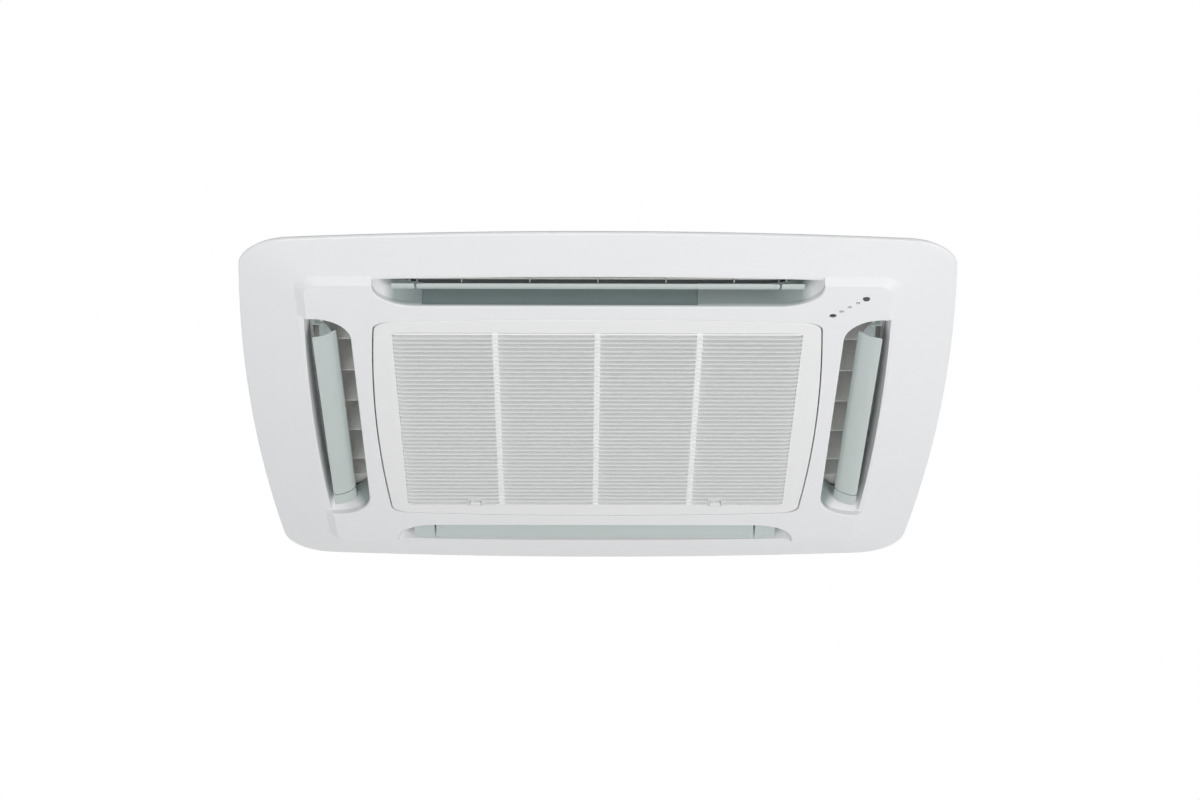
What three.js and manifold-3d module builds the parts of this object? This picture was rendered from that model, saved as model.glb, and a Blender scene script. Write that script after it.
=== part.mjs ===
// Four-way ceiling cassette air conditioner, in millimetres, +Z up.
//
// The origin is the centre of the ceiling's underside. The decoration panel hangs just below it,
// at z < 0, and the unit's body stands above it in the ceiling void. +X is to the right and -Y is
// towards the viewer of the unit's near side, where the intake grille is hinged.

import * as THREE from 'three';
import { mergeVertices } from 'three/addons/utils/BufferGeometryUtils.js';
import Module from 'manifold-3d';

const wasm = await Module();
wasm.setup();

// ---------------------------------------------------------------------------------------------
// Driving dimensions
// ---------------------------------------------------------------------------------------------

// Clearances
const gap = 0.3;                  // between two pieces that touch
const runningGap = 0.4;           // round a pin or a sliding piece

// Intake grille
const slatFieldWidth = 562;       // slatted area, left to right
const slatFieldDepth = 531;       // slatted area, near to far
const grilleSideFrame = 33.8;     // plain frame at the left and right
const grilleEndFrame = 38;        // plain frame at the near and far ends
const grilleSideRadius = 4000;    // the grille's sides bow outwards on this radius
const grilleCornerRadius = 25;
const grilleEdgeBevel = 2;
const grilleSkin = 2;             // wall of the moulded frame
const grilleRimHeight = 8;        // height of the frame's outer wall
const slatPitch = 24;
const slatThickness = 3;
const slatDepth = 10.5;
const slatProud = 2.5;            // slats stand this much below the frame
const slatFieldBevel = 4.5;       // run of the slope round the slatted area
const ribWidth = 11;
const columnCount = 4;

// Decoration panel
const recessGap = 1.5;            // parting line round the grille
const recessCornerRadius = 14;    // tighter than the grille's, so that its near corners swing clear
const stripWidth = 21.7;          // flat strip between the grille and an air outlet
const slotWidth = 68;             // air outlet, across
const slotLength = 604;           // air outlet, tip to tip
const slotEndAlong = 70;          // quarter ellipse at each inner corner of an outlet
const slotEndAcross = 50;
const slotBluntRadius = 6;        // outer corners of an outlet
const rampRun = 18;               // the outlet's end walls lean in by this much
const outerBevelRun = 3;          // and its outer wall by this much
const borderWidth = 89;           // sloping border outside the outlets
const sideRadius = 5100;          // the panel's sides bow outwards on this radius
const panelCornerRadius = 75;
const padCornerRadius = 42;       // corners of the raised middle
const rimHeight = 7;
const rimFlange = 6;              // flat ring that lies against the ceiling
const borderDrop = 13;            // from the rim to the foot of the raised middle
const platformDrop = 8;           // from there to the panel's lowest face
const platformSlope = 12.5;       // run of the step between them
const panelSkin = 3;
const ductWall = 2.5;
const collarHeight = 10;          // outlet and intake collars reach this far above the ceiling plane
const ledgeLevel = -8;            // underside of the ledge above the grille
const ledgeWidth = 31;            // the ledge reaches this far in from the recess wall
const guideHollowLength = 372;    // shallow hollow in each outlet's inner wall
const guideHollowDepth = 1.6;

// Louvres
const bladeLength = 476;
const bladeChord = 34;
const bladeThickness = 2.2;
const bladeSagitta = 3.2;
const bladeRest = 29;             // degrees: the outer edge hangs low
const bladeDrop = 3;              // the blade hangs this far below its axis
const louvreInset = 27;           // axis to the outlet's outer edge
const louvreAxisLevel = -1;
const louvrePinRadius = 2.5;
const bearingStandOff = 14;       // from the blade's end to its bearing tab
const bearingThickness = 3;
const bearingReach = 14;          // half width of a bearing tab
const stepperRadius = 12;
const stepperLength = 17;
const stepperBossLength = 23;
const stepperBossRadius = 4.5;

// Grille hinge, latches and filter
const hingeInset = 9.5;           // axis to the grille's near edge
const hingeSpread = 200;          // half the distance between the two hinges
const hingePinRadius = 1.25;
const knuckleRadius = 2.4;
const knuckleWidth = 4;
const earWidth = 6;
const latchSpread = 180;
const latchTabWidth = 16;
const latchTabLength = 14;
const latchTravel = 8;
const latchPlateThickness = 2;
const filterThickness = 3.5;
const filterBorder = 8;
const filterRib = 4;
const filterClearance = 1.5;
const filterMeshThickness = 0.8;

// Receiver at the near right corner
const receiverX = 339.2;
const receiverY = -333;
const receiverPitch = 15.6;
const receiverAngle = -48;        // degrees, direction of the row
const windowRadius = 4.5;
const lensRadius = 1.9;
const boardThickness = 1.6;
const buttonTravel = 1.5;

// Body
const bodyGap = 6;                // from the collars' top to the body, filled by the foam seal
const sheet = 1.5;                // sheet metal
const bodyOverlap = 4;            // the body's sides stand this far outside the outlets
const bodyChamfer = 90;
const linerThickness = 12;
const topLinerThickness = 10;
const flangeWidth = 10;
const lidLip = 14;
const pressedRibHeight = 4;
const pressedRibWidth = 26;

// Drain pan
const panHeight = 69;
const panFloor = 34;              // material under the condensate trough
const panDuctInset = 12;          // the pan's outlet starts this far inside the panel's
const panDuctLength = 500;
const panWall = 11;               // between the trough and an outlet
const troughMargin = 9;           // from the coil to the trough's walls
const troughWall = 22;            // between the trough and the middle opening
const plugRadius = 6.6;
const sumpOffset = 318;           // pump centre from the middle, both ways
const sumpRadius = 36;

// Coil
const coilDepth = 40;
const coilHeight = 209;
const coilBend = 60;
const coilGap = 230;              // the coil stops here on both sides of the open corner
const endPlateThickness = 1.8;
const returnBendPitch = 25.4;
const returnBendRadius = 4;
const returnBendCount = 4;

// Fan, motor and bell mouth
const fanRadius = 215;
const fanBladeCount = 7;
const fanBladeThickness = 5;
const fanBladeInner = 125;
const fanBladeSweep = 48;         // degrees
const fanWall = 2.5;
const eyeClearance = 5;           // bell mouth to the fan's eye
const shroudRise = 45;
const throatRadius = 165;
const throatHeight = 41;
const hubRadius = 60;
const hubDepth = 48;              // the hub is dished this far, to take the motor
const motorRadius = 70;
const motorHeight = 72;
const motorSink = 25;             // the motor's lower face is this far inside the dish
const shaftRadius = 4;
const damperRadius = 11;
const damperCircle = 80;
const damperHeight = 17.4;
const lugThickness = 4;

// Control box
const boxWidth = 300;
const boxDepth = 40;
const boxHeight = 34;
const terminalCount = 5;
const terminalPitch = 11.3;
const terminalDepth = 24;
const barrierWidth = 1.5;
const boxDrop = 14;               // the box hangs this far below the bell mouth's plate

// Pipes and drain
const gasPipeRadius = 7.95;
const liquidPipeRadius = 4.75;
const gasNutFlats = 26;
const liquidNutFlats = 17;
const gasNutLength = 24;
const liquidNutLength = 18;
const pipeReach = 38;             // pipes end this far outside the body
const hoseRadius = 9.5;
const hoseWall = 2.2;
const pumpRise = 66;              // the condensate pump stands this far above the pan
const pumpRadius = 24;
const hangerInsetX = 15;          // hanger bolts stand this far inside the body's sides, left and right
const hangerInsetY = 47.5;        // and near and far
const hangerSlotWidth = 12;
const hangerSlotLength = 30;
const hangerLeaf = 60;
const hangerPlate = 2.5;
const hangerLevel = 105;          // height of the hangers above the body's underside

// ---------------------------------------------------------------------------------------------
// Sizes worked out from the driving dimensions
// ---------------------------------------------------------------------------------------------

const degree = Math.PI / 180;

// Plan sizes, as half widths
const grilleHalfX = slatFieldWidth / 2 + grilleSideFrame;
const grilleHalfY = slatFieldDepth / 2 + grilleEndFrame;
const slotInner = Math.max(grilleHalfX, grilleHalfY) + recessGap + stripWidth;
const slotOuter = slotInner + slotWidth;
const slotTip = slotLength / 2;
const panelHalf = slotOuter + borderWidth;
const platformFoot = slotOuter + panelSkin;
const platformHalf = platformFoot - platformSlope;
const ledgeHalfX = grilleHalfX + recessGap - ledgeWidth;
const ledgeHalfY = grilleHalfY + recessGap - ledgeWidth;
const bodyHalf = slotOuter + bodyOverlap;
const throatOuter = slotOuter - outerBevelRun;
const throatTip = slotTip - rampRun;
const louvreAxis = slotOuter - louvreInset;

// Levels of the panel, from the ceiling down
const rimLevel = -rimHeight;
const borderLevel = rimLevel - borderDrop;
const faceLevel = borderLevel - platformDrop;
const slatLevel = faceLevel - slatProud;
const slatTop = slatLevel + slatDepth;
const hingeLevel = faceLevel + grilleSkin + knuckleRadius + runningGap;
const bowAt = spread => spread ** 2 / (2 * grilleSideRadius);
const hingeY = -(grilleHalfY - bowAt(hingeSpread) - hingeInset);
const latchEdge = grilleHalfY - bowAt(latchSpread);

// Levels of the body, from the ceiling up
const bodyBottom = collarHeight + bodyGap;
const panBottom = bodyBottom + sheet + gap;
const panTop = panBottom + panHeight - sheet;
const troughLevel = panBottom + panFloor;
const coilBottom = troughLevel + gap;
const coilTop = coilBottom + coilHeight;
const linerTop = coilTop + gap + topLinerThickness;
const lidLevel = linerTop + gap;

// Plan of the body, from the outlets in
const panDuctOuter = slotOuter - panDuctInset;
const panDuctInner = slotInner + gap * 10;
const troughOuter = panDuctInner - panWall;
const coilOuter = troughOuter - troughMargin;
const coilInner = coilOuter - coilDepth;
const troughInner = coilInner - troughMargin;
const panOpening = troughInner - troughWall;
const boxFar = panOpening - 2;
const boxNear = boxFar - boxDepth;
const flareRadius = boxNear - 8;
const rebateHalf = panOpening + 18;

// Fan and motor
const bellLevel = panBottom + gap;
const bellTop = bellLevel + throatHeight;
const eyeLevel = bellTop - 4;
const damperLevel = lidLevel - gap - damperHeight;
const motorTop = damperLevel - gap - lugThickness;
const motorBottom = motorTop - motorHeight;
const fanBack = motorBottom + motorSink;
const hubLevel = fanBack - hubDepth;
const bossBottom = hubLevel - 10;

// ---------------------------------------------------------------------------------------------
// Solids: booleans on closed geometries
// ---------------------------------------------------------------------------------------------

/** A closed geometry as a solid that can be joined and cut. */
function solidOf(geometry) {
  const bare = new THREE.BufferGeometry();
  bare.setAttribute('position', geometry.getAttribute('position'));
  bare.setIndex(geometry.index);
  const merged = mergeVertices(bare, 1e-4);
  const index = merged.index.array;
  const triangles = [];
  for (let i = 0; i < index.length; i += 3) {
    const [a, b, c] = [index[i], index[i + 1], index[i + 2]];
    if (a !== b && b !== c && c !== a) triangles.push(a, b, c);
  }
  return new wasm.Manifold(new wasm.Mesh({
    numProp: 3,
    vertProperties: Float32Array.from(merged.getAttribute('position').array),
    triVerts: Uint32Array.from(triangles),
  }));
}

/** The geometry of a solid. */
function geometryOf(solid) {
  const mesh = solid.getMesh();
  const geometry = new THREE.BufferGeometry();
  geometry.setAttribute('position', new THREE.BufferAttribute(mesh.vertProperties, 3));
  geometry.setIndex(new THREE.BufferAttribute(mesh.triVerts, 1));
  return geometry;
}

function join(...parts) {
  return geometryOf(parts.map(solidOf).reduce((whole, part) => whole.add(part)));
}

function cut(base, ...tools) {
  return geometryOf(tools.map(solidOf).reduce((whole, tool) => whole.subtract(tool), solidOf(base)));
}

function common(first, second) {
  return geometryOf(solidOf(first).intersect(solidOf(second)));
}

// ---------------------------------------------------------------------------------------------
// Outlines, all counter-clockwise lists of Vector2
// ---------------------------------------------------------------------------------------------

const point = (x, y) => new THREE.Vector2(x, y);

function circle(radius, sides, x = 0, y = 0) {
  const outline = [];
  for (let i = 0; i < sides; i++) {
    const angle = 2 * Math.PI * i / sides;
    outline.push(point(x + radius * Math.cos(angle), y + radius * Math.sin(angle)));
  }
  return outline;
}

/** A rectangle with round corners, centred on (x, y). */
function roundedRectangle(halfX, halfY, radius, steps = 1, x = 0, y = 0) {
  const outline = [];
  for (let corner = 0; corner < 4; corner++) {
    const signX = corner === 0 || corner === 3 ? 1 : -1;
    const signY = corner < 2 ? 1 : -1;
    for (let i = 0; i <= steps; i++) {
      const angle = (corner + i / steps) * Math.PI / 2;
      outline.push(point(x + signX * (halfX - radius) + radius * Math.cos(angle),
        y + signY * (halfY - radius) + radius * Math.sin(angle)));
    }
  }
  return outline;
}

/** A square with its corners cut off at 45 degrees. */
function octagon(half, chamfer) {
  const short = half - chamfer;
  return [[half, -short], [half, short], [short, half], [-short, half],
    [-half, short], [-half, -short], [-short, -half], [short, -half]].map(([x, y]) => point(x, y));
}

/**
 * A rectangle whose four sides bow outwards on one large radius and whose corners are round.
 * The corner circles touch both side circles from inside, which fixes their centres.
 */
function bowedRectangle(halfX, halfY, bowRadius, cornerRadius, sideSteps = 4, cornerSteps = 3) {
  const reach = bowRadius - cornerRadius;
  let cornerX = halfX - cornerRadius;
  let cornerY = halfY - cornerRadius;
  for (let i = 0; i < 40; i++) {
    cornerX = halfX - bowRadius + Math.sqrt(reach ** 2 - cornerY ** 2);
    cornerY = halfY - bowRadius + Math.sqrt(reach ** 2 - cornerX ** 2);
  }
  const sideAngle = Math.atan2(cornerY, cornerX - halfX + bowRadius);
  const endAngle = Math.atan2(cornerY - halfY + bowRadius, cornerX);
  const quarter = [];
  for (let i = 0; i < sideSteps / 2; i++) {
    const angle = sideAngle * i / (sideSteps / 2);
    quarter.push(point(halfX - bowRadius + bowRadius * Math.cos(angle), bowRadius * Math.sin(angle)));
  }
  for (let i = 0; i <= cornerSteps; i++) {
    const angle = sideAngle + (endAngle - sideAngle) * i / cornerSteps;
    quarter.push(point(cornerX + cornerRadius * Math.cos(angle), cornerY + cornerRadius * Math.sin(angle)));
  }
  for (let i = 1; i < sideSteps / 2; i++) {
    const angle = endAngle + (Math.PI / 2 - endAngle) * i / (sideSteps / 2);
    quarter.push(point(bowRadius * Math.cos(angle), halfY - bowRadius + bowRadius * Math.sin(angle)));
  }
  const top = point(0, halfY);
  const upperHalf = [...quarter, top, ...quarter.slice(1).reverse().map(p => point(-p.x, p.y))];
  const left = point(-halfX, 0);
  return [...upperHalf, left, ...upperHalf.slice(1).reverse().map(p => point(p.x, -p.y))];
}

/**
 * An air outlet on the near side: a bowed outer edge, small blunt outer corners, and a quarter
 * ellipse that runs from each tip to the straight inner edge.
 */
function slotOutline(tip, inner, outer, grow = 0) {
  const edge = x => outer + grow - x * x / (2 * sideRadius);
  const end = tip + grow;
  const blunt = slotBluntRadius;
  const across = slotEndAcross - (slotOuter - outer);
  const right = [];
  for (let i = 0; i < 2; i++) {
    const x = (end - blunt) * i / 2;
    right.push(point(x, -edge(x)));
  }
  const corner = edge(end - blunt);
  for (let i = 0; i <= 1; i++) {
    const angle = i * Math.PI / 2;
    right.push(point(end - blunt + blunt * Math.sin(angle), -(corner - blunt + blunt * Math.cos(angle))));
  }
  for (let i = 0; i <= 3; i++) {
    const angle = i * Math.PI / 6;
    const x = end - slotEndAlong * (1 - Math.cos(angle));
    right.push(point(x, -(inner - grow + across * (1 - Math.sin(angle)))));
  }
  const left = right.slice(1).reverse().map(p => point(-p.x, p.y));
  return [...right, ...left];
}

// ---------------------------------------------------------------------------------------------
// Shapes
// ---------------------------------------------------------------------------------------------

function block(x0, x1, y0, y1, z0, z1) {
  return new THREE.BoxGeometry(x1 - x0, y1 - y0, z1 - z0)
    .translate((x0 + x1) / 2, (y0 + y1) / 2, (z0 + z1) / 2);
}

/** An upright prism from z0 to z1, with holes right through it if any are given. */
function prism(outline, z0, z1, ...holes) {
  const shape = new THREE.Shape(outline);
  const body = new THREE.ExtrudeGeometry(shape, { depth: z1 - z0, bevelEnabled: false }).translate(0, 0, z0);
  return holes.length === 0 ? body : cut(body, ...holes.map(hole => prism(hole, z0 - 1, z1 + 1)));
}

/** An upright cylinder. */
function post(radius, z0, z1, x = 0, y = 0, sides = 10) {
  return prism(circle(radius, sides, x, y), z0, z1);
}

/** A cylinder along X. */
function barX(radius, x0, x1, y, z, sides = 8) {
  return prism(circle(radius, sides), x0, x1).rotateY(Math.PI / 2).translate(0, y, z);
}

/** Radius of a polygon whose flats touch a circle, for holes that have to clear a round piece. */
const around = (radius, count) => radius / Math.cos(Math.PI / count);

/** A hole along X that clears a round bar of the given radius. */
function boreX(radius, x0, x1, y, z, count = 8) {
  return barX(around(radius, count), x0, x1, y, z, count);
}

/** An upright hole that clears a round post of the given radius. */
function boreZ(radius, z0, z1, x = 0, y = 0, count = 8) {
  return post(around(radius, count), z0, z1, x, y, count);
}

/** A skin through rings of equal count, lowest ring first, closed at both ends. */
function loft(rings) {
  const count = rings[0].outline.length;
  const positions = rings.flatMap(ring => ring.outline.flatMap(p => [p.x, p.y, ring.z]));
  const faces = [];
  for (let level = 0; level < rings.length - 1; level++) {
    for (let i = 0; i < count; i++) {
      const next = (i + 1) % count;
      const [a, b] = [level * count + i, level * count + next];
      const [c, d] = [a + count, b + count];
      faces.push(a, b, d, a, d, c);
    }
  }
  const top = (rings.length - 1) * count;
  for (const [a, b, c] of THREE.ShapeUtils.triangulateShape(rings[0].outline, [])) faces.push(a, c, b);
  for (const [a, b, c] of THREE.ShapeUtils.triangulateShape(rings.at(-1).outline, [])) {
    faces.push(top + a, top + b, top + c);
  }
  const geometry = new THREE.BufferGeometry();
  geometry.setAttribute('position', new THREE.Float32BufferAttribute(positions, 3));
  geometry.setIndex(faces);
  return geometry;
}

/** A profile of [radius, z] pairs turned about the Z axis. The profile closes on itself. */
function revolve(profile, sides = 32) {
  const points = profile.map(([radius, z]) => point(radius, z));
  if (THREE.ShapeUtils.area(points) < 0) points.reverse();
  return new THREE.LatheGeometry([...points, points[0]], sides).rotateX(Math.PI / 2);
}

/** A closed profile that follows a line of [radius, z] pairs and is `thickness` wide to its left. */
function skin(line, thickness) {
  const offset = line.map(([radius, z], i) => {
    const [r0, z0] = line[Math.max(i - 1, 0)];
    const [r1, z1] = line[Math.min(i + 1, line.length - 1)];
    const length = Math.hypot(r1 - r0, z1 - z0);
    return [radius - thickness * (z1 - z0) / length, z + thickness * (r1 - r0) / length];
  });
  return [...line, ...offset.reverse()];
}

/** A round tube along a smooth curve through the points. A bore makes it a hose. */
function tube(points, radius, steps, sides = 8, bore = 0) {
  const shape = new THREE.Shape(circle(radius, sides));
  if (bore > 0) shape.holes = [new THREE.Path(circle(around(bore, sides), sides))];
  const path = new THREE.CatmullRomCurve3(points.map(p => new THREE.Vector3(...p)), false, 'centripetal');
  return new THREE.ExtrudeGeometry(shape, { steps, extrudePath: path, bevelEnabled: false });
}

/** The same geometry on the near, right, far or left side of the unit. */
const sides = [
  { name: 'near', turn: 0 },
  { name: 'right', turn: Math.PI / 2 },
  { name: 'far', turn: Math.PI },
  { name: 'left', turn: -Math.PI / 2 },
];

function onEachSide(geometry) {
  return sides.map(side => geometry.clone().rotateZ(side.turn));
}

// ---------------------------------------------------------------------------------------------
// Materials
// ---------------------------------------------------------------------------------------------

const finish = (color, roughness, metalness = 0) => new THREE.MeshStandardMaterial({ color, roughness, metalness });

const whitePlastic = finish(0xe6e7e7, 0.42);
const grillePlastic = finish(0xdfe1e1, 0.45);
const louvrePlastic = finish(0xccd3d2, 0.4);
const darkLens = finish(0x2c2f33, 0.15);
const clearLens = finish(0xe8ece6, 0.2);
const boardGreen = finish(0x2f6b3c, 0.5);
const zincSteel = finish(0xb9bdbf, 0.35, 0.9);
const galvanised = finish(0xb7bcbd, 0.45, 0.85);
const foamWhite = finish(0xededea, 0.95);
const foamGrey = finish(0x55585a, 0.95);
const filterNet = finish(0x6f7478, 0.8);
const fanPlastic = finish(0xd4d6d3, 0.5);
const motorShell = finish(0xc4c6c4, 0.5, 0.3);
const blackRubber = finish(0x26282a, 0.9);
const aluminiumFins = finish(0xc9cfd2, 0.4, 0.8);
const copper = finish(0xb87352, 0.35, 0.9);
const brass = finish(0xc3a35c, 0.35, 0.9);
const connectorGrey = finish(0xc9cdc4, 0.5);

const cassette = new THREE.Group();

function add(name, geometry, material) {
  const mesh = new THREE.Mesh(geometry, material);
  mesh.name = name;
  cassette.add(mesh);
  return mesh;
}

// ---------------------------------------------------------------------------------------------
// Decoration panel
// ---------------------------------------------------------------------------------------------

const bearingX = bladeLength / 2 + bearingStandOff;
const stepperX = slotTip + panelSkin + 1;
const stepperY = -(louvreAxis - 5);
const stepperZ = louvreAxisLevel - 4;
const ringAt = (half, radius, z) => ({ outline: bowedRectangle(half, half, sideRadius, radius), z });
const grilleRing = grow =>
  bowedRectangle(grilleHalfX + grow, grilleHalfY + grow, grilleSideRadius, grilleCornerRadius + grow);
const recessRing = (grow = 0) => bowedRectangle(grilleHalfX + recessGap + grow, grilleHalfY + recessGap + grow,
  grilleSideRadius, recessCornerRadius + grow);

function panelEnvelope(top) {
  return loft([
    ringAt(platformHalf, padCornerRadius, faceLevel),
    ringAt(platformFoot, padCornerRadius + 10, borderLevel),
    ringAt(panelHalf - 1.5, panelCornerRadius - 1.5, rimLevel),
    ringAt(panelHalf, panelCornerRadius, rimLevel + 1.5),
    ringAt(panelHalf, panelCornerRadius, top),
  ]);
}

function panelCavity() {
  return loft([
    ringAt(platformHalf - panelSkin, padCornerRadius - panelSkin, faceLevel + panelSkin),
    ringAt(platformFoot - panelSkin, padCornerRadius + 10 - panelSkin, borderLevel + panelSkin),
    ringAt(panelHalf - rimFlange, panelCornerRadius - rimFlange, rimLevel + panelSkin),
    ringAt(panelHalf - rimFlange, panelCornerRadius - rimFlange, 1),
  ]);
}

function slotHollow(grow, bottom, top) {
  return loft([
    { outline: slotOutline(slotTip, slotInner, slotOuter, grow), z: bottom },
    { outline: slotOutline(slotTip, slotInner, slotOuter, grow), z: borderLevel },
    { outline: slotOutline(throatTip, slotInner, throatOuter, grow), z: 0 },
    { outline: slotOutline(throatTip, slotInner, throatOuter, grow), z: top },
  ]);
}

/** Row of five places along the receiver: window, three lamps, button. */
const receiverPlaces = [-2, -1, 0, 1, 2].map(step => ({
  x: receiverX + step * receiverPitch * Math.cos(receiverAngle * degree),
  y: receiverY + step * receiverPitch * Math.sin(receiverAngle * degree),
}));
const [windowPlace, firstLamp, middleLamp, lastLamp, buttonPlace] = receiverPlaces;
const lampPlaces = [firstLamp, middleLamp, lastLamp];
const buttonRadius = windowRadius;

const screwX = grilleHalfX - 13;
const screwY = slatFieldDepth / 2 - 35;
const screwPlaces = [[1, 1], [-1, 1], [-1, -1], [1, -1]].map(([sx, sy]) => [sx * screwX, sy * screwY]);
const screwRadius = 2.5;

/** Panel ear of a hinge: round at the axis and square up to the ledge. */
function hingeEar(x) {
  const outline = [
    ...circle(knuckleRadius, 8).filter(p => p.y <= 0.01),
    point(knuckleRadius, ledgeLevel - hingeLevel + 1),
    point(-knuckleRadius, ledgeLevel - hingeLevel + 1),
  ];
  const plate = prism(orderAround(outline), -earWidth / 2, earWidth / 2);
  return standAcross(plate).translate(x, hingeY, hingeLevel);
}

/** Points of a convex outline sorted counter-clockwise about their middle. */
function orderAround(outline) {
  const middle = outline.reduce((sum, p) => sum.add(p), point(0, 0)).divideScalar(outline.length);
  return [...outline].sort((p, q) =>
    Math.atan2(p.y - middle.y, p.x - middle.x) - Math.atan2(q.y - middle.y, q.x - middle.x));
}

/** Turns an upright prism so that its outline's x, y become Y, Z and its height runs along X. */
function standAcross(geometry) {
  return geometry.rotateX(Math.PI / 2).rotateZ(Math.PI / 2);
}

function makePanel() {
  const bearingTab = x => block(x - bearingThickness / 2, x + bearingThickness / 2,
    -slotOuter, -(louvreAxis - bearingReach / 2), louvreAxisLevel - 8, collarHeight);
  const tabs = common(
    join(bearingTab(bearingX), bearingTab(-bearingX)),
    slotHollow(ductWall / 2, borderLevel - 2, collarHeight));
  const stepperSeat = block(stepperX - gap - 2.4, stepperX - gap,
    stepperY - stepperRadius, stepperY + stepperRadius, faceLevel + 1, stepperZ + stepperRadius);

  const walls = join(
    ...onEachSide(slotHollow(ductWall, faceLevel + 1, collarHeight)),
    ...onEachSide(stepperSeat),
    prism(recessRing(ductWall), faceLevel + 1, ledgeLevel + ductWall),
    prism(roundedRectangle(ledgeHalfX + ductWall, ledgeHalfY + ductWall, 14, 2), ledgeLevel, collarHeight));

  const shell = join(cut(panelEnvelope(0), panelCavity()), common(walls, panelEnvelope(collarHeight)));

  const guideHollow = block(-guideHollowLength / 2, guideHollowLength / 2,
    -slotInner - 1, -slotInner + guideHollowDepth, faceLevel + 4, collarHeight + 1);
  const below = faceLevel - 10;
  const hollows = [
    ...onEachSide(slotHollow(0, below, collarHeight + 1)),
    ...onEachSide(guideHollow),
    prism(recessRing(), below, ledgeLevel),
    prism(roundedRectangle(ledgeHalfX, ledgeHalfY, 12, 2), below, collarHeight + 1),
  ];

  const pinHole = louvrePinRadius + runningGap;
  const bossHoles = onEachSide(boreX(stepperBossRadius + runningGap, throatTip - 4, stepperX + 2,
    -louvreAxis, louvreAxisLevel));
  const tabHoles = onEachSide(boreX(pinHole, -bearingX - 4, bearingX + 4, -louvreAxis, louvreAxisLevel));

  const receiverHoles = receiverPlaces.map(({ x, y }, i) =>
    boreZ((i === 0 || i === 4 ? windowRadius : lensRadius) + runningGap, below, faceLevel + 8, x, y, 8));
  const screwHoles = screwPlaces.map(([x, y]) => boreZ(screwRadius + runningGap, ledgeLevel - 1,
    ledgeLevel + ductWall + 1, x, y));

  const pierced = cut(shell, ...hollows, ...bossHoles, ...receiverHoles, ...screwHoles);
  const ears = [hingeEar(-hingeSpread), hingeEar(hingeSpread)];
  const pinBore = x => boreX(hingePinRadius + gap, x - 20, x + 20, hingeY, hingeLevel);
  const fitted = join(pierced, ...onEachSide(tabs), ...ears);
  return cut(fitted, ...tabHoles, pinBore(-hingeSpread), pinBore(hingeSpread));
}

add('panel_frame', makePanel(), whitePlastic);

/** Foam between the panel's collars and the underside of the body. */
function makeSeal() {
  const [z0, z1] = [collarHeight + gap, bodyBottom - gap];
  const sheetOutline = octagon(bodyHalf - 1, bodyChamfer);
  const outlet = block(-throatTip - 1, throatTip + 1, -throatOuter - 1, -slotInner + 1, z0 - 1, z1 + 1);
  const intake = prism(roundedRectangle(ledgeHalfX + 1, ledgeHalfY + 1, 12), z0 - 1, z1 + 1);
  const screws = screwPlaces.map(([x, y]) => boreZ(screwRadius + runningGap, z0 - 1, z1 + 1, x, y));
  return cut(prism(sheetOutline, z0, z1), ...onEachSide(outlet), intake, ...screws);
}

add('panel_seal', makeSeal(), foamGrey);

// Screws that hold the panel to the body, from below through the ledge
for (const [i, [x, y]] of screwPlaces.entries()) {
  const underHead = ledgeLevel - gap;
  const profile = [[0, underHead - 3.2], [3.6, underHead - 3.2], [5, underHead], [screwRadius, underHead],
    [screwRadius, troughLevel - 14], [0, troughLevel - 12]];
  add(`panel_screw_${i + 1}`, revolve(profile, 8).translate(x, y, 0), zincSteel);
}

// ---------------------------------------------------------------------------------------------
// Receiver: window, lamps and button behind the near right corner
// ---------------------------------------------------------------------------------------------

const boardLevel = faceLevel + 11;
const receiverFlange = faceLevel + panelSkin + gap;

function turnedWithReceiver(geometry) {
  return geometry.rotateZ(receiverAngle * degree).translate(receiverX, receiverY, 0);
}

add('receiver_board', turnedWithReceiver(block(-40, 40, -11, 11, boardLevel, boardLevel + boardThickness)),
  boardGreen);

add('receiver_window', revolve([[0, faceLevel - 0.8], [windowRadius * 0.6, faceLevel - 0.6],
  [windowRadius, faceLevel + 0.4], [windowRadius, receiverFlange], [windowRadius + 2, receiverFlange],
  [windowRadius + 2, receiverFlange + 1.2], [3, receiverFlange + 1.2], [3, boardLevel - gap],
  [0, boardLevel - gap]], 10).translate(windowPlace.x, windowPlace.y, 0), darkLens);

function makeLightGuide() {
  const pips = lampPlaces.map(({ x, y }) => post(lensRadius, faceLevel - 0.2, receiverFlange + 1.5, x, y, 8));
  const reach = receiverPitch + 5;
  const bar = turnedWithReceiver(block(-reach, reach, -4, 4, receiverFlange, receiverFlange + 2));
  const feet = lampPlaces.map(({ x, y }) => post(2.4, receiverFlange + 1, boardLevel - gap, x, y, 6));
  return join(bar, ...pips, ...feet);
}

add('led_light_guide', makeLightGuide(), clearLens);

add('power_button', revolve([[0, faceLevel - 1.6], [buttonRadius - 1, faceLevel - 1.6],
  [buttonRadius, faceLevel - 0.8], [buttonRadius, receiverFlange], [buttonRadius + 2, receiverFlange],
  [buttonRadius + 2, receiverFlange + 1.2], [2, receiverFlange + 1.2],
  [2, boardLevel - gap - buttonTravel], [0, boardLevel - gap - buttonTravel]], 10)
  .translate(buttonPlace.x, buttonPlace.y, 0), whitePlastic);

// ---------------------------------------------------------------------------------------------
// Louvres and their stepper motors
// ---------------------------------------------------------------------------------------------

/** Thin curved blade section: x runs along the chord, y is the bulge. */
function bladeSection() {
  const line = [];
  const steps = 4;
  for (let i = 0; i <= steps; i++) {
    const along = i / steps * 2 - 1;
    line.push([along * bladeChord / 2, -bladeSagitta * (1 - along * along)]);
  }
  return skin(line, bladeThickness).map(([x, y]) => point(x, y));
}

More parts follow.
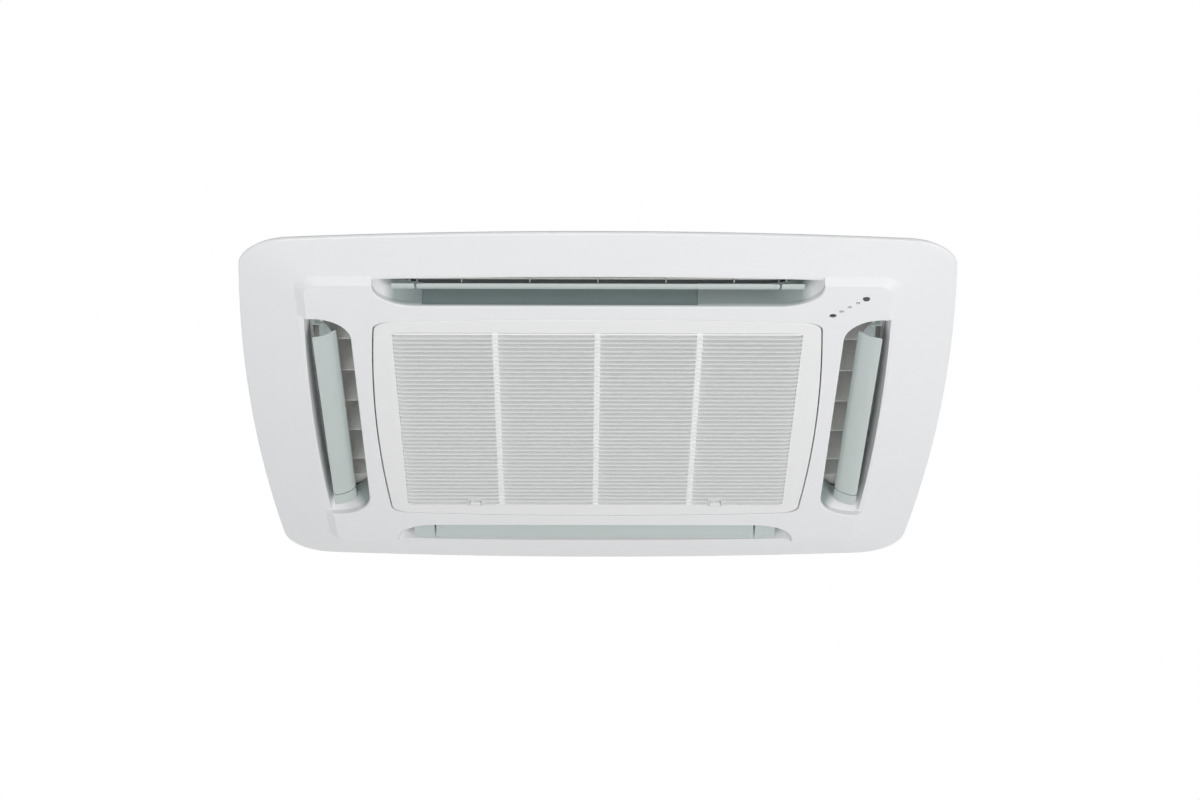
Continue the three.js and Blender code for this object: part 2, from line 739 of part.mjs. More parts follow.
/** The louvre of the near side. Its outer edge hangs low and it turns on pins along X. */
function makeLouvre() {
  const upright = standAcross(prism(bladeSection(), -bladeLength / 2, bladeLength / 2));
  const blade = upright.translate(0, 0, -bladeDrop).rotateX(bladeRest * degree);
  const lobe = [[-9, -bladeDrop - 2.4], [9, -bladeDrop - 2.4], [4.4, 2.6], [2, 4.8], [-2, 4.8], [-4.4, 2.6]]
    .map(([x, y]) => point(x, y));
  const arm = standAcross(prism(lobe, -1, 1)).rotateX(bladeRest * degree);
  const armAt = x => arm.clone().translate(x, 0, 0);
  const idlePin = barX(louvrePinRadius, -bearingX - 6, -bladeLength / 2 + 1, 0, 0);
  const drivenPin = barX(louvrePinRadius, bladeLength / 2 - 1,
    stepperX - stepperBossLength + 6, 0, 0);
  return join(blade, armAt(1 - bladeLength / 2), armAt(bladeLength / 2 - 1), idlePin, drivenPin);
}

function makeStepper() {
  const can = barX(stepperRadius, stepperX, stepperX + stepperLength, stepperY, stepperZ, 12);
  const boss = barX(stepperBossRadius, stepperX - stepperBossLength, stepperX + 2, -louvreAxis, louvreAxisLevel);
  const bore = boreX(louvrePinRadius + gap, stepperX - stepperBossLength - 1,
    stepperX - stepperBossLength + 8, -louvreAxis, louvreAxisLevel);
  const plug = block(stepperX + 4, stepperX + stepperLength - 2, stepperY + stepperRadius - 2,
    stepperY + stepperRadius + 4, stepperZ - 6, stepperZ + 6);
  return cut(join(can, boss, plug), bore);
}

const louvre = makeLouvre();
const stepper = makeStepper();

for (const side of sides) {
  const holder = new THREE.Group();
  holder.rotation.z = side.turn;
  const blade = new THREE.Mesh(louvre, louvrePlastic);
  blade.name = `louvre_${side.name}`;
  blade.position.set(0, -louvreAxis, louvreAxisLevel);
  const motor = new THREE.Mesh(stepper, motorShell);
  motor.name = `louvre_motor_${side.name}`;
  holder.add(blade, motor);
  cassette.add(holder);
}

// ---------------------------------------------------------------------------------------------
// Intake grille with its latches, hinge pins and filter
// ---------------------------------------------------------------------------------------------

const latchSlotHalf = latchTabWidth / 2 + runningGap;
const latchTabNear = slatFieldDepth / 2 - 10;
const latchTabFar = latchTabNear + latchTabLength;
const latchPlateLevel = faceLevel + grilleSkin + gap;
const slatRows = Math.floor(slatFieldDepth / slatPitch) + 1;

function makeGrilleFrame() {
  const outer = loft([
    { outline: grilleRing(-grilleEdgeBevel), z: faceLevel },
    { outline: grilleRing(0), z: faceLevel + grilleEdgeBevel },
    { outline: grilleRing(0), z: faceLevel + grilleRimHeight },
  ]);
  const channel = prism(grilleRing(-grilleSkin), faceLevel + grilleSkin, faceLevel + grilleRimHeight + 1);
  const wellWall = prism(roundedRectangle(slatFieldWidth / 2 + grilleSkin, slatFieldDepth / 2 + grilleSkin, 8),
    faceLevel, slatTop + filterThickness + 1.5);
  const well = prism(roundedRectangle(slatFieldWidth / 2, slatFieldDepth / 2, 6), faceLevel - 5, 0);
  return cut(join(cut(outer, channel), wellWall), well);
}

/** Slats and ribs as one pierced plate, trimmed so that the field's edges slope. */
function makeSlatField() {
  const halfX = slatFieldWidth / 2 + 0.5;
  const halfY = slatFieldDepth / 2 + 0.5;
  const columnWidth = slatFieldWidth / columnCount;
  const openings = [];
  for (let row = 0; row < slatRows - 1; row++) {
    const y = (row + 1 - slatRows / 2) * slatPitch;
    for (let column = 0; column < columnCount; column++) {
      const x0 = column === 0 ? -halfX + 0.2 : (column - columnCount / 2) * columnWidth + ribWidth / 2;
      const x1 = column === columnCount - 1 ? halfX - 0.2 : (column + 1 - columnCount / 2) * columnWidth - ribWidth / 2;
      const half = (slatPitch - slatThickness) / 2;
      openings.push(block(x0, x1, y - half, y + half, slatLevel - 2, slatTop + 1));
    }
  }
  const plate = block(-halfX, halfX, -halfY, halfY, slatLevel - 1, slatTop);
  const trim = loft([
    { outline: roundedRectangle(halfX - slatFieldBevel, halfY - slatFieldBevel, 6, 1), z: slatLevel },
    { outline: roundedRectangle(halfX, halfY, 6, 1), z: faceLevel },
    { outline: roundedRectangle(halfX, halfY, 6, 1), z: slatTop + 1 },
  ]);
  return common(cut(plate, ...openings), trim);
}

function knuckle(x) {
  const outline = orderAround([
    ...circle(knuckleRadius, 8).filter(p => p.y >= -0.01),
    point(knuckleRadius, faceLevel - hingeLevel + 1),
    point(-knuckleRadius, faceLevel - hingeLevel + 1),
  ]);
  return standAcross(prism(outline, -knuckleWidth / 2, knuckleWidth / 2)).translate(x, hingeY, hingeLevel);
}

function makeGrille() {
  const knuckleOffset = earWidth / 2 + runningGap + knuckleWidth / 2;
  const knuckles = [-hingeSpread, hingeSpread].flatMap(x => [knuckle(x - knuckleOffset), knuckle(x + knuckleOffset)]);
  const latchWell = x => block(x - latchSlotHalf - 2, x + latchSlotHalf + 2,
    latchTabNear - latchTravel - 3, slatFieldDepth / 2 + 4, slatLevel, slatTop);
  const body = join(makeGrilleFrame(), makeSlatField(), ...knuckles, latchWell(-latchSpread), latchWell(latchSpread));

  const earNotch = x => block(x - earWidth / 2 - runningGap, x + earWidth / 2 + runningGap,
    -grilleHalfY - 3, hingeY - knuckleRadius, faceLevel + grilleSkin + 0.5, 0);
  const pinBore = x => boreX(hingePinRadius + gap, x - 20, x + 20, hingeY, hingeLevel);
  const tabSlot = x => block(x - latchSlotHalf, x + latchSlotHalf,
    latchTabNear - latchTravel - 1, latchTabFar + 1, slatLevel - 1, latchPlateLevel);
  const plateSlot = x => block(x - latchSlotHalf, x + latchSlotHalf,
    latchTabNear - latchTravel - 1, slatFieldDepth / 2 + 6, latchPlateLevel - gap, latchPlateLevel + latchPlateThickness + gap);
  const tongueSlot = x => block(x - latchSlotHalf, x + latchSlotHalf,
    latchEdge - grilleSkin - 1, latchEdge + 2, latchPlateLevel - gap, latchPlateLevel + latchPlateThickness + gap);
  const cuts = [-1, 1].flatMap(sign => [
    earNotch(sign * hingeSpread), pinBore(sign * hingeSpread),
    tabSlot(sign * latchSpread), plateSlot(sign * latchSpread), tongueSlot(sign * latchSpread)]);
  return cut(body, ...cuts);
}

add('intake_grille', makeGrille(), grillePlastic);

/** A sliding latch: finger tab below, flat plate above the frame's skin, tongue at the far end. */
function makeLatch(x) {
  const half = latchTabWidth / 2;
  const tongueEnd = latchEdge - gap;
  const plate = block(x - half, x + half, latchTabNear, tongueEnd - 12,
    latchPlateLevel, latchPlateLevel + latchPlateThickness);
  const tongue = block(x - half + 2, x + half - 2, tongueEnd - 13, tongueEnd,
    latchPlateLevel, latchPlateLevel + latchPlateThickness);
  const tab = loft([
    { outline: roundedRectangle(half - 1, latchTabLength / 2 - 1, 1, 2), z: slatLevel - 0.6 },
    { outline: roundedRectangle(half, latchTabLength / 2, 1.5, 2), z: slatLevel + 0.6 },
    { outline: roundedRectangle(half, latchTabLength / 2, 1.5, 2), z: latchPlateLevel + 0.5 },
  ]).translate(x, (latchTabNear + latchTabFar) / 2, 0);
  return join(plate, tongue, tab);
}

add('latch_left', makeLatch(-latchSpread), whitePlastic);
add('latch_right', makeLatch(latchSpread), whitePlastic);

const hingePinHalf = earWidth / 2 + knuckleWidth + runningGap + 2;
add('hinge_pin_left', barX(hingePinRadius, -hingeSpread - hingePinHalf, -hingeSpread + hingePinHalf,
  hingeY, hingeLevel), zincSteel);
add('hinge_pin_right', barX(hingePinRadius, hingeSpread - hingePinHalf, hingeSpread + hingePinHalf,
  hingeY, hingeLevel), zincSteel);

const filterHalfX = slatFieldWidth / 2 - filterClearance;
const filterHalfY = slatFieldDepth / 2 - filterClearance;
const filterBottom = slatTop + gap;

function makeFilterFrame() {
  const windows = [];
  const columns = 4;
  const rows = 3;
  const openX = 2 * (filterHalfX - filterBorder);
  const openY = 2 * (filterHalfY - filterBorder);
  for (let column = 0; column < columns; column++) {
    for (let row = 0; row < rows; row++) {
      const x = ((column + 0.5) / columns - 0.5) * openX;
      const y = ((row + 0.5) / rows - 0.5) * openY;
      const halfX = (openX / columns - filterRib) / 2;
      const halfY = (openY / rows - filterRib) / 2;
      windows.push([point(x - halfX, y - halfY), point(x + halfX, y - halfY),
        point(x + halfX, y + halfY), point(x - halfX, y + halfY)]);
    }
  }
  return prism(roundedRectangle(filterHalfX, filterHalfY, 8), filterBottom, filterBottom + filterThickness, ...windows);
}

add('filter_frame', makeFilterFrame(), connectorGrey);
const meshBottom = filterBottom + filterThickness + gap;
add('filter_mesh', prism(roundedRectangle(filterHalfX - filterBorder / 2, filterHalfY - filterBorder / 2, 6),
  meshBottom, meshBottom + filterMeshThickness), filterNet);

// ---------------------------------------------------------------------------------------------
// Body: sheet metal, insulation and hangers
// ---------------------------------------------------------------------------------------------

const pipeExitX = -bodyHalf - pipeReach;
const gasExit = { y: sumpOffset - 48, z: panTop + 104 };
const liquidExit = { y: sumpOffset - 56, z: panTop + 64 };
const drainExit = { y: sumpOffset - 18, z: panTop + 140 };
const grommetExit = { y: coilGap + 32, z: panTop + 35 };
const grommetRadius = 12;

/** Ports through the side: pipes and drain on the left, cables on the right. */
function sidePorts(extra, grommetExtra = extra) {
  const wallInside = bodyHalf - linerThickness - 10;
  const left = (radius, { y, z }) => boreX(radius + extra, -bodyHalf - 5, -wallInside, y, z);
  return [
    left(gasPipeRadius + 3, gasExit),
    left(liquidPipeRadius + 3, liquidExit),
    left(hoseRadius + 2, drainExit),
    boreX(grommetRadius + gap + grommetExtra, wallInside, bodyHalf + 5, grommetExit.y, grommetExit.z, 10),
  ];
}

const chamferInside = inset => bodyChamfer - inset * (2 - Math.SQRT2);
const octagonInside = inset => octagon(bodyHalf - inset, chamferInside(inset));

function makeSideWrap() {
  const wrap = prism(octagonInside(0), bodyBottom, linerTop, octagonInside(sheet));
  const flange = prism(octagonInside(sheet / 2), bodyBottom, bodyBottom + sheet, octagonInside(sheet + flangeWidth));
  return cut(join(wrap, flange), ...sidePorts(0));
}

add('side_wrap', makeSideWrap(), galvanised);

function makeTopPlate() {
  const plateHalf = -sheet - gap;
  const plate = prism(octagonInside(plateHalf), lidLevel, lidLevel + sheet);
  const lip = prism(octagonInside(plateHalf), lidLevel - lidLip, lidLevel + sheet / 2, octagonInside(-gap));
  const rib = (drop, half) => {
    const foot = roundedRectangle(110, half, half / 2, 1, 230, 0);
    const crest = roundedRectangle(104, half - 6, half / 2 - 3, 1, 230, 0);
    return loft([{ outline: foot, z: lidLevel - drop - 2 }, { outline: foot, z: lidLevel + sheet - drop },
      { outline: crest, z: lidLevel + sheet + pressedRibHeight - drop }]);
  };
  const raised = onEachSide(common(rib(0, pressedRibWidth / 2), block(0, bodyHalf, -50, 50, lidLevel, lidLevel + 50)));
  const sunk = onEachSide(rib(sheet, pressedRibWidth / 2));
  return cut(join(plate, lip, ...raised), ...sunk);
}

add('top_plate', makeTopPlate(), galvanised);

function makeInsulation() {
  const outside = sheet + gap;
  const liner = prism(octagonInside(outside), panTop + gap, linerTop, octagonInside(outside + linerThickness));
  const ceiling = prism(octagonInside(outside + 1), linerTop - topLinerThickness, linerTop,
    circle(damperCircle + damperRadius + 4, 20));
  return cut(join(liner, ceiling), ...sidePorts(1.5, 5));
}

add('body_insulation', makeInsulation(), foamWhite);

/** A hanger on a chamfered corner: an upright leaf on the body and a slotted leaf for the rod. */
function makeHanger(signX, signY) {
  const chamferDistance = (2 * bodyHalf - bodyChamfer) / Math.SQRT2;
  const boltX = bodyHalf - hangerInsetX;
  const boltY = bodyHalf - hangerInsetY;
  const boltOut = (boltX + boltY) / Math.SQRT2;
  const boltAlong = (boltY - boltX) / Math.SQRT2;
  const face = chamferDistance + gap;
  const level = bodyBottom + hangerLevel;
  const half = hangerLeaf / 2;
  const upright = block(face, face + hangerPlate, -half, half, level, level + hangerLeaf);
  const shelfEnd = boltOut + hangerSlotWidth / 2 + 14;
  const shelf = prism(roundedRectangle((shelfEnd - face) / 2, half + 4, 4, 1,
    (shelfEnd + face) / 2, boltAlong / 2), level, level + hangerPlate);
  const slot = prism(roundedRectangle(hangerSlotWidth / 2, hangerSlotLength / 2, hangerSlotWidth / 2 - 0.01, 2,
    boltOut, boltAlong), level - 1, level + hangerPlate + 1);
  const hanger = cut(join(upright, shelf), slot);
  hanger.rotateZ(45 * degree);
  if (signX < 0) mirror(hanger, 'x');
  if (signY < 0) mirror(hanger, 'y');
  return hanger;
}

/** Mirrors a closed geometry and turns its faces back outwards. */
function mirror(geometry, axis) {
  geometry.scale(axis === 'x' ? -1 : 1, axis === 'y' ? -1 : 1, 1);
  const index = geometry.index.array;
  for (let i = 0; i < index.length; i += 3) [index[i], index[i + 1]] = [index[i + 1], index[i]];
}

add('hanger_bracket_far_right', makeHanger(1, 1), galvanised);
add('hanger_bracket_far_left', makeHanger(-1, 1), galvanised);
add('hanger_bracket_near_left', makeHanger(-1, -1), galvanised);
add('hanger_bracket_near_right', makeHanger(1, -1), galvanised);

add('cable_grommet', revolve([[7, -4], [grommetRadius + 4, -4], [grommetRadius + 4, -gap],
  [grommetRadius, -gap], [grommetRadius, sheet + gap], [grommetRadius + 4, sheet + gap],
  [grommetRadius + 3, sheet + gap + 3], [7, sheet + gap + 3]], 10)
  .rotateY(Math.PI / 2).translate(bodyHalf - sheet, grommetExit.y, grommetExit.z), blackRubber);

// ---------------------------------------------------------------------------------------------
// Drain pan and drain plug
// ---------------------------------------------------------------------------------------------

const plugX = -(troughInner + 9);
const plugY = -troughInner * 0.7;

function makePan() {
  const base = join(
    prism(octagonInside(sheet + gap * 2), panBottom, panTop),
    prism(octagonInside(sheet + flangeWidth + gap), panBottom - sheet, panBottom + 1));
  const duct = block(-panDuctLength / 2, panDuctLength / 2, -panDuctOuter, -panDuctInner, 0, panTop + 1);
  const trough = prism(roundedRectangle(troughOuter, troughOuter, 14), troughLevel, panTop + 1,
    roundedRectangle(troughInner, troughInner, 10));
  const opening = prism(roundedRectangle(panOpening, panOpening, 12), 0, panTop + 1);
  const rebate = prism(roundedRectangle(rebateHalf + gap, rebateHalf + gap, 6), 0, bellLevel + sheet * 2 + gap);
  const sump = post(sumpRadius, panBottom + 12, panTop + 1, -sumpOffset, sumpOffset, 16);
  const plugHole = boreZ(plugRadius + gap, 0, troughLevel + 1, plugX, plugY, 10);
  const plugSeat = boreZ(plugRadius + 2.5, 0, panBottom + 1.5, plugX, plugY, 10);
  const screws = screwPlaces.map(([x, y]) => boreZ(screwRadius + runningGap, 0, troughLevel - 11, x, y));
  return cut(base, ...onEachSide(duct), trough, opening, rebate, sump, plugHole, plugSeat, ...screws);
}

add('drain_pan', makePan(), foamWhite);

add('drain_plug', revolve([[0, panBottom - 1], [plugRadius + 2, panBottom - 1], [plugRadius + 2, panBottom + 1.2],
  [plugRadius, panBottom + 1.2], [plugRadius, troughLevel - 2], [plugRadius - 2, troughLevel], [0, troughLevel]], 10)
  .translate(plugX, plugY, 0), blackRubber);

// ---------------------------------------------------------------------------------------------
// Bell mouth and control box
// ---------------------------------------------------------------------------------------------

/** Quarter ellipse from [r0, z0], where it is level, to [r1, z1], where it is upright. */
function bellLine(r0, z0, r1, z1, steps) {
  return [...Array(steps + 1).keys()].map(i => {
    const angle = i / steps * Math.PI / 2;
    return [r1 + (r0 - r1) * (1 - Math.sin(angle)), z0 + (z1 - z0) * (1 - Math.cos(angle))];
  });
}

function makeBellMouth() {
  const plateTop = bellLevel + sheet * 2;
  const opening = circle(flareRadius - 2, 16);
  const boxHole = roundedRectangle(boxWidth / 2 + gap, boxDepth / 2 + gap, 2, 1, 0, (boxNear + boxFar) / 2);
  const plate = prism(roundedRectangle(rebateHalf, rebateHalf, 6), bellLevel, plateTop, opening, boxHole);
  const flare = revolve(skin(bellLine(flareRadius, bellLevel, throatRadius, bellTop, 3).reverse(), 2), 16);
  return join(plate, flare);
}

add('bell_mouth', makeBellMouth(), whitePlastic);

const boxBottom = bellLevel - boxDrop;
const boxTop = boxBottom + boxHeight;
const boxMiddle = (boxNear + boxFar) / 2;
const circuitLevel = boxTop - sheet - 7;

function makeControlBox() {
  const outside = roundedRectangle(boxWidth / 2, boxDepth / 2, 2, 1, 0, boxMiddle);
  const inside = roundedRectangle(boxWidth / 2 - sheet, boxDepth / 2 - sheet, 1, 1, 0, boxMiddle);
  const flange = roundedRectangle(boxWidth / 2 + 8, boxDepth / 2 + 1.4, 2, 1, 0, boxMiddle);
  const tray = join(prism(outside, boxBottom, boxTop),
    prism(flange, bellLevel - gap - sheet, bellLevel - gap));
  const posts = [-1, 1].flatMap(sx => [-1, 1].map(sy => post(2.5, circuitLevel + boardThickness + gap, boxTop - 0.5,
    sx * (boxWidth / 2 - 10), boxMiddle + sy * (boxDepth / 2 - 8), 6)));
  return join(cut(tray, prism(inside, boxBottom - 1, boxTop - sheet)), ...posts);
}

add('control_box', makeControlBox(), galvanised);

function makeBoxLid() {
  const lid = roundedRectangle(boxWidth / 2 + 1, boxDepth / 2, 2, 1, 0, boxMiddle);
  const lip = roundedRectangle(boxWidth / 2 - sheet - gap, boxDepth / 2 - sheet - gap, 1, 1, 0, boxMiddle);
  const lipInside = roundedRectangle(boxWidth / 2 - 2 * sheet, boxDepth / 2 - 2 * sheet, 1, 1, 0, boxMiddle);
  const level = boxBottom - gap;
  return join(prism(lid, level - sheet, level), prism(lip, level - 0.5, level + 5, lipInside));
}

add('control_box_lid', makeBoxLid(), galvanised);

function makeControlBoard() {
  const level = circuitLevel;
  const board = block(-boxWidth / 2 + 5, boxWidth / 2 - 5, boxNear + 4, boxFar - 4, level, level + boardThickness);
  // Each component: its share of the box's half width, half depth and height
  const under = (x0, x1, y0, y1, height) => block(x0 * boxWidth / 2, x1 * boxWidth / 2,
    boxMiddle + y0 * boxDepth / 2, boxMiddle + y1 * boxDepth / 2, level - height * boxHeight, level + 0.5);
  return join(board, under(-0.4, -0.13, -0.6, 0.5, 0.41), under(-0.07, 0.04, -0.4, 0.4, 0.47),
    under(0.11, 0.27, -0.65, 0.15, 0.32), under(0.33, 0.44, -0.2, 0.6, 0.26),
    under(0.5, 0.8, -0.65, -0.35, 0.24), under(0.5, 0.8, 0.3, 0.6, 0.24));
}

add('control_board', makeControlBoard(), boardGreen);

function makeTerminalBlock() {
  const level = circuitLevel - gap;
  const end = -boxWidth / 2 + 20;
  const near = boxMiddle - terminalDepth / 2;
  const far = boxMiddle + terminalDepth / 2;
  const base = block(end, end + terminalCount * terminalPitch + barrierWidth, near, far, level - 9, level);
  const barriers = [...Array(terminalCount + 1).keys()].map(i =>
    block(end + i * terminalPitch, end + i * terminalPitch + barrierWidth, near, far, level - 15, level - 8));
  return join(base, ...barriers);
}

add('terminal_block', makeTerminalBlock(), connectorGrey);

// ---------------------------------------------------------------------------------------------
// Fan, motor and shaft
// ---------------------------------------------------------------------------------------------

function shroudLine(steps = 3) {
  const eye = throatRadius + 2 + eyeClearance;
  return [...Array(steps + 1).keys()].map(i => {
    const angle = i / steps * Math.PI / 2;
    return [fanRadius - (fanRadius - eye) * Math.cos(angle), eyeLevel + shroudRise * Math.sin(angle)];
  });
}

/** A backward-curved blade: its middle line sweeps back as it runs out, thickest near the front. */
function fanBladeOutline() {
  const steps = 4;
  const front = [];
  const back = [];
  for (let i = 0; i <= steps; i++) {
    const along = i / steps;
    const radius = fanBladeInner + (fanRadius - 2 - fanBladeInner) * along;
    const angle = -fanBladeSweep * degree * along ** 1.2;
    const half = fanBladeThickness / 2 * Math.sqrt(1.02 - along) * (0.35 + 1.9 * Math.sqrt(along) * (1 - along)) + 0.6;
    const turn = half / radius;
    front.push(point(radius * Math.cos(angle + turn), radius * Math.sin(angle + turn)));
    back.unshift(point(radius * Math.cos(angle - turn), radius * Math.sin(angle - turn)));
  }
  const outline = [...back, ...front];
  return THREE.ShapeUtils.area(outline) < 0 ? outline.reverse() : outline;
}

function makeFan() {
  const dish = revolve(skin([[10, hubLevel], [hubRadius, hubLevel], [hubRadius + 45, fanBack], [fanRadius, fanBack]],
    fanWall), 16);
  const bossBore = around(shaftRadius + gap, 12);
  const boss = revolve([[bossBore, bossBottom], [14, bossBottom], [16, hubLevel + 8], [bossBore, hubLevel + 8]], 12);
  const line = shroudLine();
  const shroud = revolve(skin(line, -fanWall), 16);
  const midWall = skin(line, -fanWall / 2).slice(line.length).reverse();
  const outside = revolve([...midWall, [fanRadius + 20, midWall.at(-1)[1]], [fanRadius + 20, eyeLevel - 20],
    [midWall[0][0], eyeLevel - 20]], 16);
  const blade = cut(prism(fanBladeOutline(), eyeLevel + 16, fanBack + 1), outside);
  const blades = [...Array(fanBladeCount).keys()].map(i => blade.clone().rotateZ(i * 2 * Math.PI / fanBladeCount));
  return join(dish, boss, shroud, ...blades);
}

add('turbo_fan', makeFan(), fanPlastic);

const shaftTop = motorBottom + 40;
const shaftBottom = bossBottom - 12;
add('motor_shaft', post(shaftRadius, shaftBottom, shaftTop, 0, 0, 12), zincSteel);
add('fan_nut', prism(circle(7.5, 6), bossBottom - gap - 7, bossBottom - gap, circle(around(shaftRadius + gap, 12), 12)), zincSteel);

function makeMotor() {
  const shell = revolve([[0, motorBottom], [16, motorBottom], [17, motorBottom - 6], [26, motorBottom - 6],
    [30, motorBottom], [motorRadius - 8, motorBottom], [motorRadius, motorBottom + 8],
    [motorRadius, motorTop - 6], [motorRadius - 10, motorTop], [0, motorTop]], 16);
  const lug = block(motorRadius - 25, damperCircle + damperRadius, -10, 10, motorTop - 4, motorTop + lugThickness);
  const lugs = [0, 1, 2].map(i => lug.clone().rotateZ(Math.PI / 2 + i * 2 * Math.PI / 3));
  const bore = boreZ(shaftRadius + gap, motorBottom - 10, shaftTop + 1, 0, 0, 12);
  return cut(join(shell, ...lugs), bore);
}

add('fan_motor', makeMotor(), motorShell);

const damperTop = damperLevel + damperHeight;
const damper = revolve([[0, damperLevel], [damperRadius, damperLevel], [damperRadius, damperLevel + 4],
  [damperRadius - 3, damperLevel + 7], [damperRadius - 3, damperTop - 7], [damperRadius, damperTop - 4],
  [damperRadius, damperTop], [0, damperTop]], 8);
for (let i = 0; i < 3; i++) {
  const angle = Math.PI / 2 + i * 2 * Math.PI / 3;
  add(`motor_damper_${i + 1}`, damper.clone().translate(damperCircle * Math.cos(angle),
    damperCircle * Math.sin(angle), 0), blackRubber);
}

// ---------------------------------------------------------------------------------------------
// Heat exchanger and pipes
// ---------------------------------------------------------------------------------------------

function makeCoil() {
  const ring = prism(roundedRectangle(coilOuter, coilOuter, coilBend, 4), coilBottom, coilTop,
    roundedRectangle(coilInner, coilInner, Math.max(coilBend - coilDepth, 5), 4));
  return cut(ring, block(-coilOuter - 5, -coilGap, coilGap, coilOuter + 5, coilBottom - 5, coilTop + 5));
}

add('coil_fins', makeCoil(), aluminiumFins);

/** End plate of the coil's far run, with the copper return bends that stand out of it. */
function makeEndPlate() {
  const faceX = -coilGap - gap;
  const middle = (coilInner + coilOuter) / 2;
  const plate = block(faceX - endPlateThickness, faceX, coilInner - 3, coilOuter + 3, coilBottom, coilTop);
  const bends = [];
  const spacing = coilHeight / returnBendCount;
  for (let i = 0; i < returnBendCount; i++) {
    const centre = coilBottom + (i + 0.5) * spacing;
    const half = returnBendPitch / 2;
    const line = [[faceX - 1, middle, centre - half]];
    for (let j = 0; j <= 4; j++) {
      const angle = j / 4 * Math.PI;
      line.push([faceX - 5 - half * Math.sin(angle), middle, centre - half * Math.cos(angle)]);
    }
    line.push([faceX - 1, middle, centre + half]);
    bends.push(tube(line, returnBendRadius, 5, 5));
  }
  return join(plate, ...bends);
}

const endPlate = makeEndPlate();
add('coil_end_plate_a', endPlate, zincSteel);
// The left run's plate is the far run's plate mirrored across the open corner's diagonal
const secondPlate = endPlate.clone().rotateZ(-Math.PI / 2);
mirror(secondPlate, 'x');
add('coil_end_plate_b', secondPlate, zincSteel);

const pipeStartX = -coilGap - gap - endPlateThickness - gap;
const pipeRow = coilInner + 8;

function makePipe(radius, exit, startZ) {
  const reach = pipeStartX - pipeExitX;
  return tube([[pipeStartX, pipeRow, startZ], [pipeStartX - reach * 0.15, pipeRow, startZ],
    [pipeStartX - reach * 0.4, (pipeRow + exit.y) / 2, (startZ + exit.z) / 2],
    [pipeStartX - reach * 0.62, exit.y, exit.z], [pipeStartX - reach * 0.8, exit.y, exit.z],
    [pipeExitX, exit.y, exit.z]], radius, 10, 8);
}

function makeNut(flats, bore, exit, length) {
  const hexagon = circle(flats / Math.sqrt(3), 6);
  return prism(hexagon, 0, length, circle(bore + gap, 12)).rotateY(Math.PI / 2)
    .translate(pipeExitX - 2, exit.y, exit.z);
}

add('gas_pipe', makePipe(gasPipeRadius, gasExit, gasExit.z + 8), copper);
add('gas_flare_nut', makeNut(gasNutFlats, gasPipeRadius, gasExit, gasNutLength), brass);
add('liquid_pipe', makePipe(liquidPipeRadius, liquidExit, liquidExit.z + 6), copper);
add('liquid_flare_nut', makeNut(liquidNutFlats, liquidPipeRadius, liquidExit, liquidNutLength), brass);

// ---------------------------------------------------------------------------------------------
// Condensate pump, hose, socket and float switch
// ---------------------------------------------------------------------------------------------

const pumpTop = panTop + pumpRise;

function makePump() {
  const flangeBottom = panTop + gap;
  return revolve([[0, panBottom + 16], [7, panBottom + 16], [10, panBottom + 26], [10, flangeBottom],
    [sumpRadius + 5, flangeBottom], [sumpRadius + 5, flangeBottom + 2], [pumpRadius, flangeBottom + 2],
    [pumpRadius, pumpTop - 14], [pumpRadius - 4, pumpTop - 8], [hoseRadius - hoseWall - gap, pumpTop - 8],
    [hoseRadius - hoseWall - gap, pumpTop + 6], [0, pumpTop + 6]], 12).translate(-sumpOffset, sumpOffset, 0);
}

add('drain_pump', makePump(), connectorGrey);

const socketX = -bodyHalf - gap;
add('drain_hose', tube([[-sumpOffset, sumpOffset, pumpTop - 7], [-sumpOffset, sumpOffset, pumpTop + 14],
  [-sumpOffset - 4, sumpOffset - 3, drainExit.z - 22], [-sumpOffset - 26, sumpOffset - 14, drainExit.z - 4],
  [-sumpOffset - 50, drainExit.y, drainExit.z], [-bodyHalf + 4, drainExit.y, drainExit.z]],
hoseRadius, 10, 8, hoseRadius - hoseWall), connectorGrey);

add('drain_socket', revolve([[hoseRadius - hoseWall - gap, -24], [5.5, -24], [5.5, 0], [11, 6], [11, 34], [13, 34],
  [13, 3], [hoseRadius + 8, 3], [hoseRadius + 8, 0], [hoseRadius - hoseWall - gap, 0]], 12)
  .rotateY(-Math.PI / 2).translate(socketX, drainExit.y, drainExit.z), connectorGrey);

const floatPlace = sumpOffset - 32;
const stemRadius = 3;
const floatLow = troughLevel + 4.5;

function makeFloatSwitch() {
  const shelf = panTop + gap * 2 + 2;
  const arm = prism(roundedRectangle(30, 8, 3, 2, 22, 0), shelf, shelf + 2).rotateZ(-45 * degree)
    .translate(-sumpOffset - 5, sumpOffset + 5, 0);
  const pumpHole = boreZ(pumpRadius + runningGap, shelf - 5, shelf + 10, -sumpOffset, sumpOffset, 12);
  const stem = revolve([[0, floatLow - 3], [stemRadius + 2, floatLow - 3], [stemRadius + 2, floatLow - gap],
    [stemRadius, floatLow - gap], [stemRadius, shelf + 1], [0, shelf + 1]], 12).translate(-floatPlace, floatPlace, 0);
  const cap = post(7, shelf, shelf + 9, -floatPlace, floatPlace, 12);
  return join(cut(arm, pumpHole), stem, cap);
}

add('float_switch', makeFloatSwitch(), connectorGrey);
add('float', revolve([[around(stemRadius + runningGap, 12), floatLow], [8, floatLow], [9, floatLow + 1.5], [9, floatLow + 10.5],
  [8, floatLow + 12], [around(stemRadius + runningGap, 12), floatLow + 12]], 12).translate(-floatPlace, floatPlace, 0), foamWhite);

export default cassette;
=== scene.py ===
# %% [markdown]
# # A four-way ceiling cassette air conditioner
#
# The unit hangs in the ceiling void, and a room sees only its decoration panel: a white moulding
# with four air outlets round a hinged intake grille. The frame that is loaded first holds every
# construction part at its real size. The cells below dress it, one piece after another.

import math

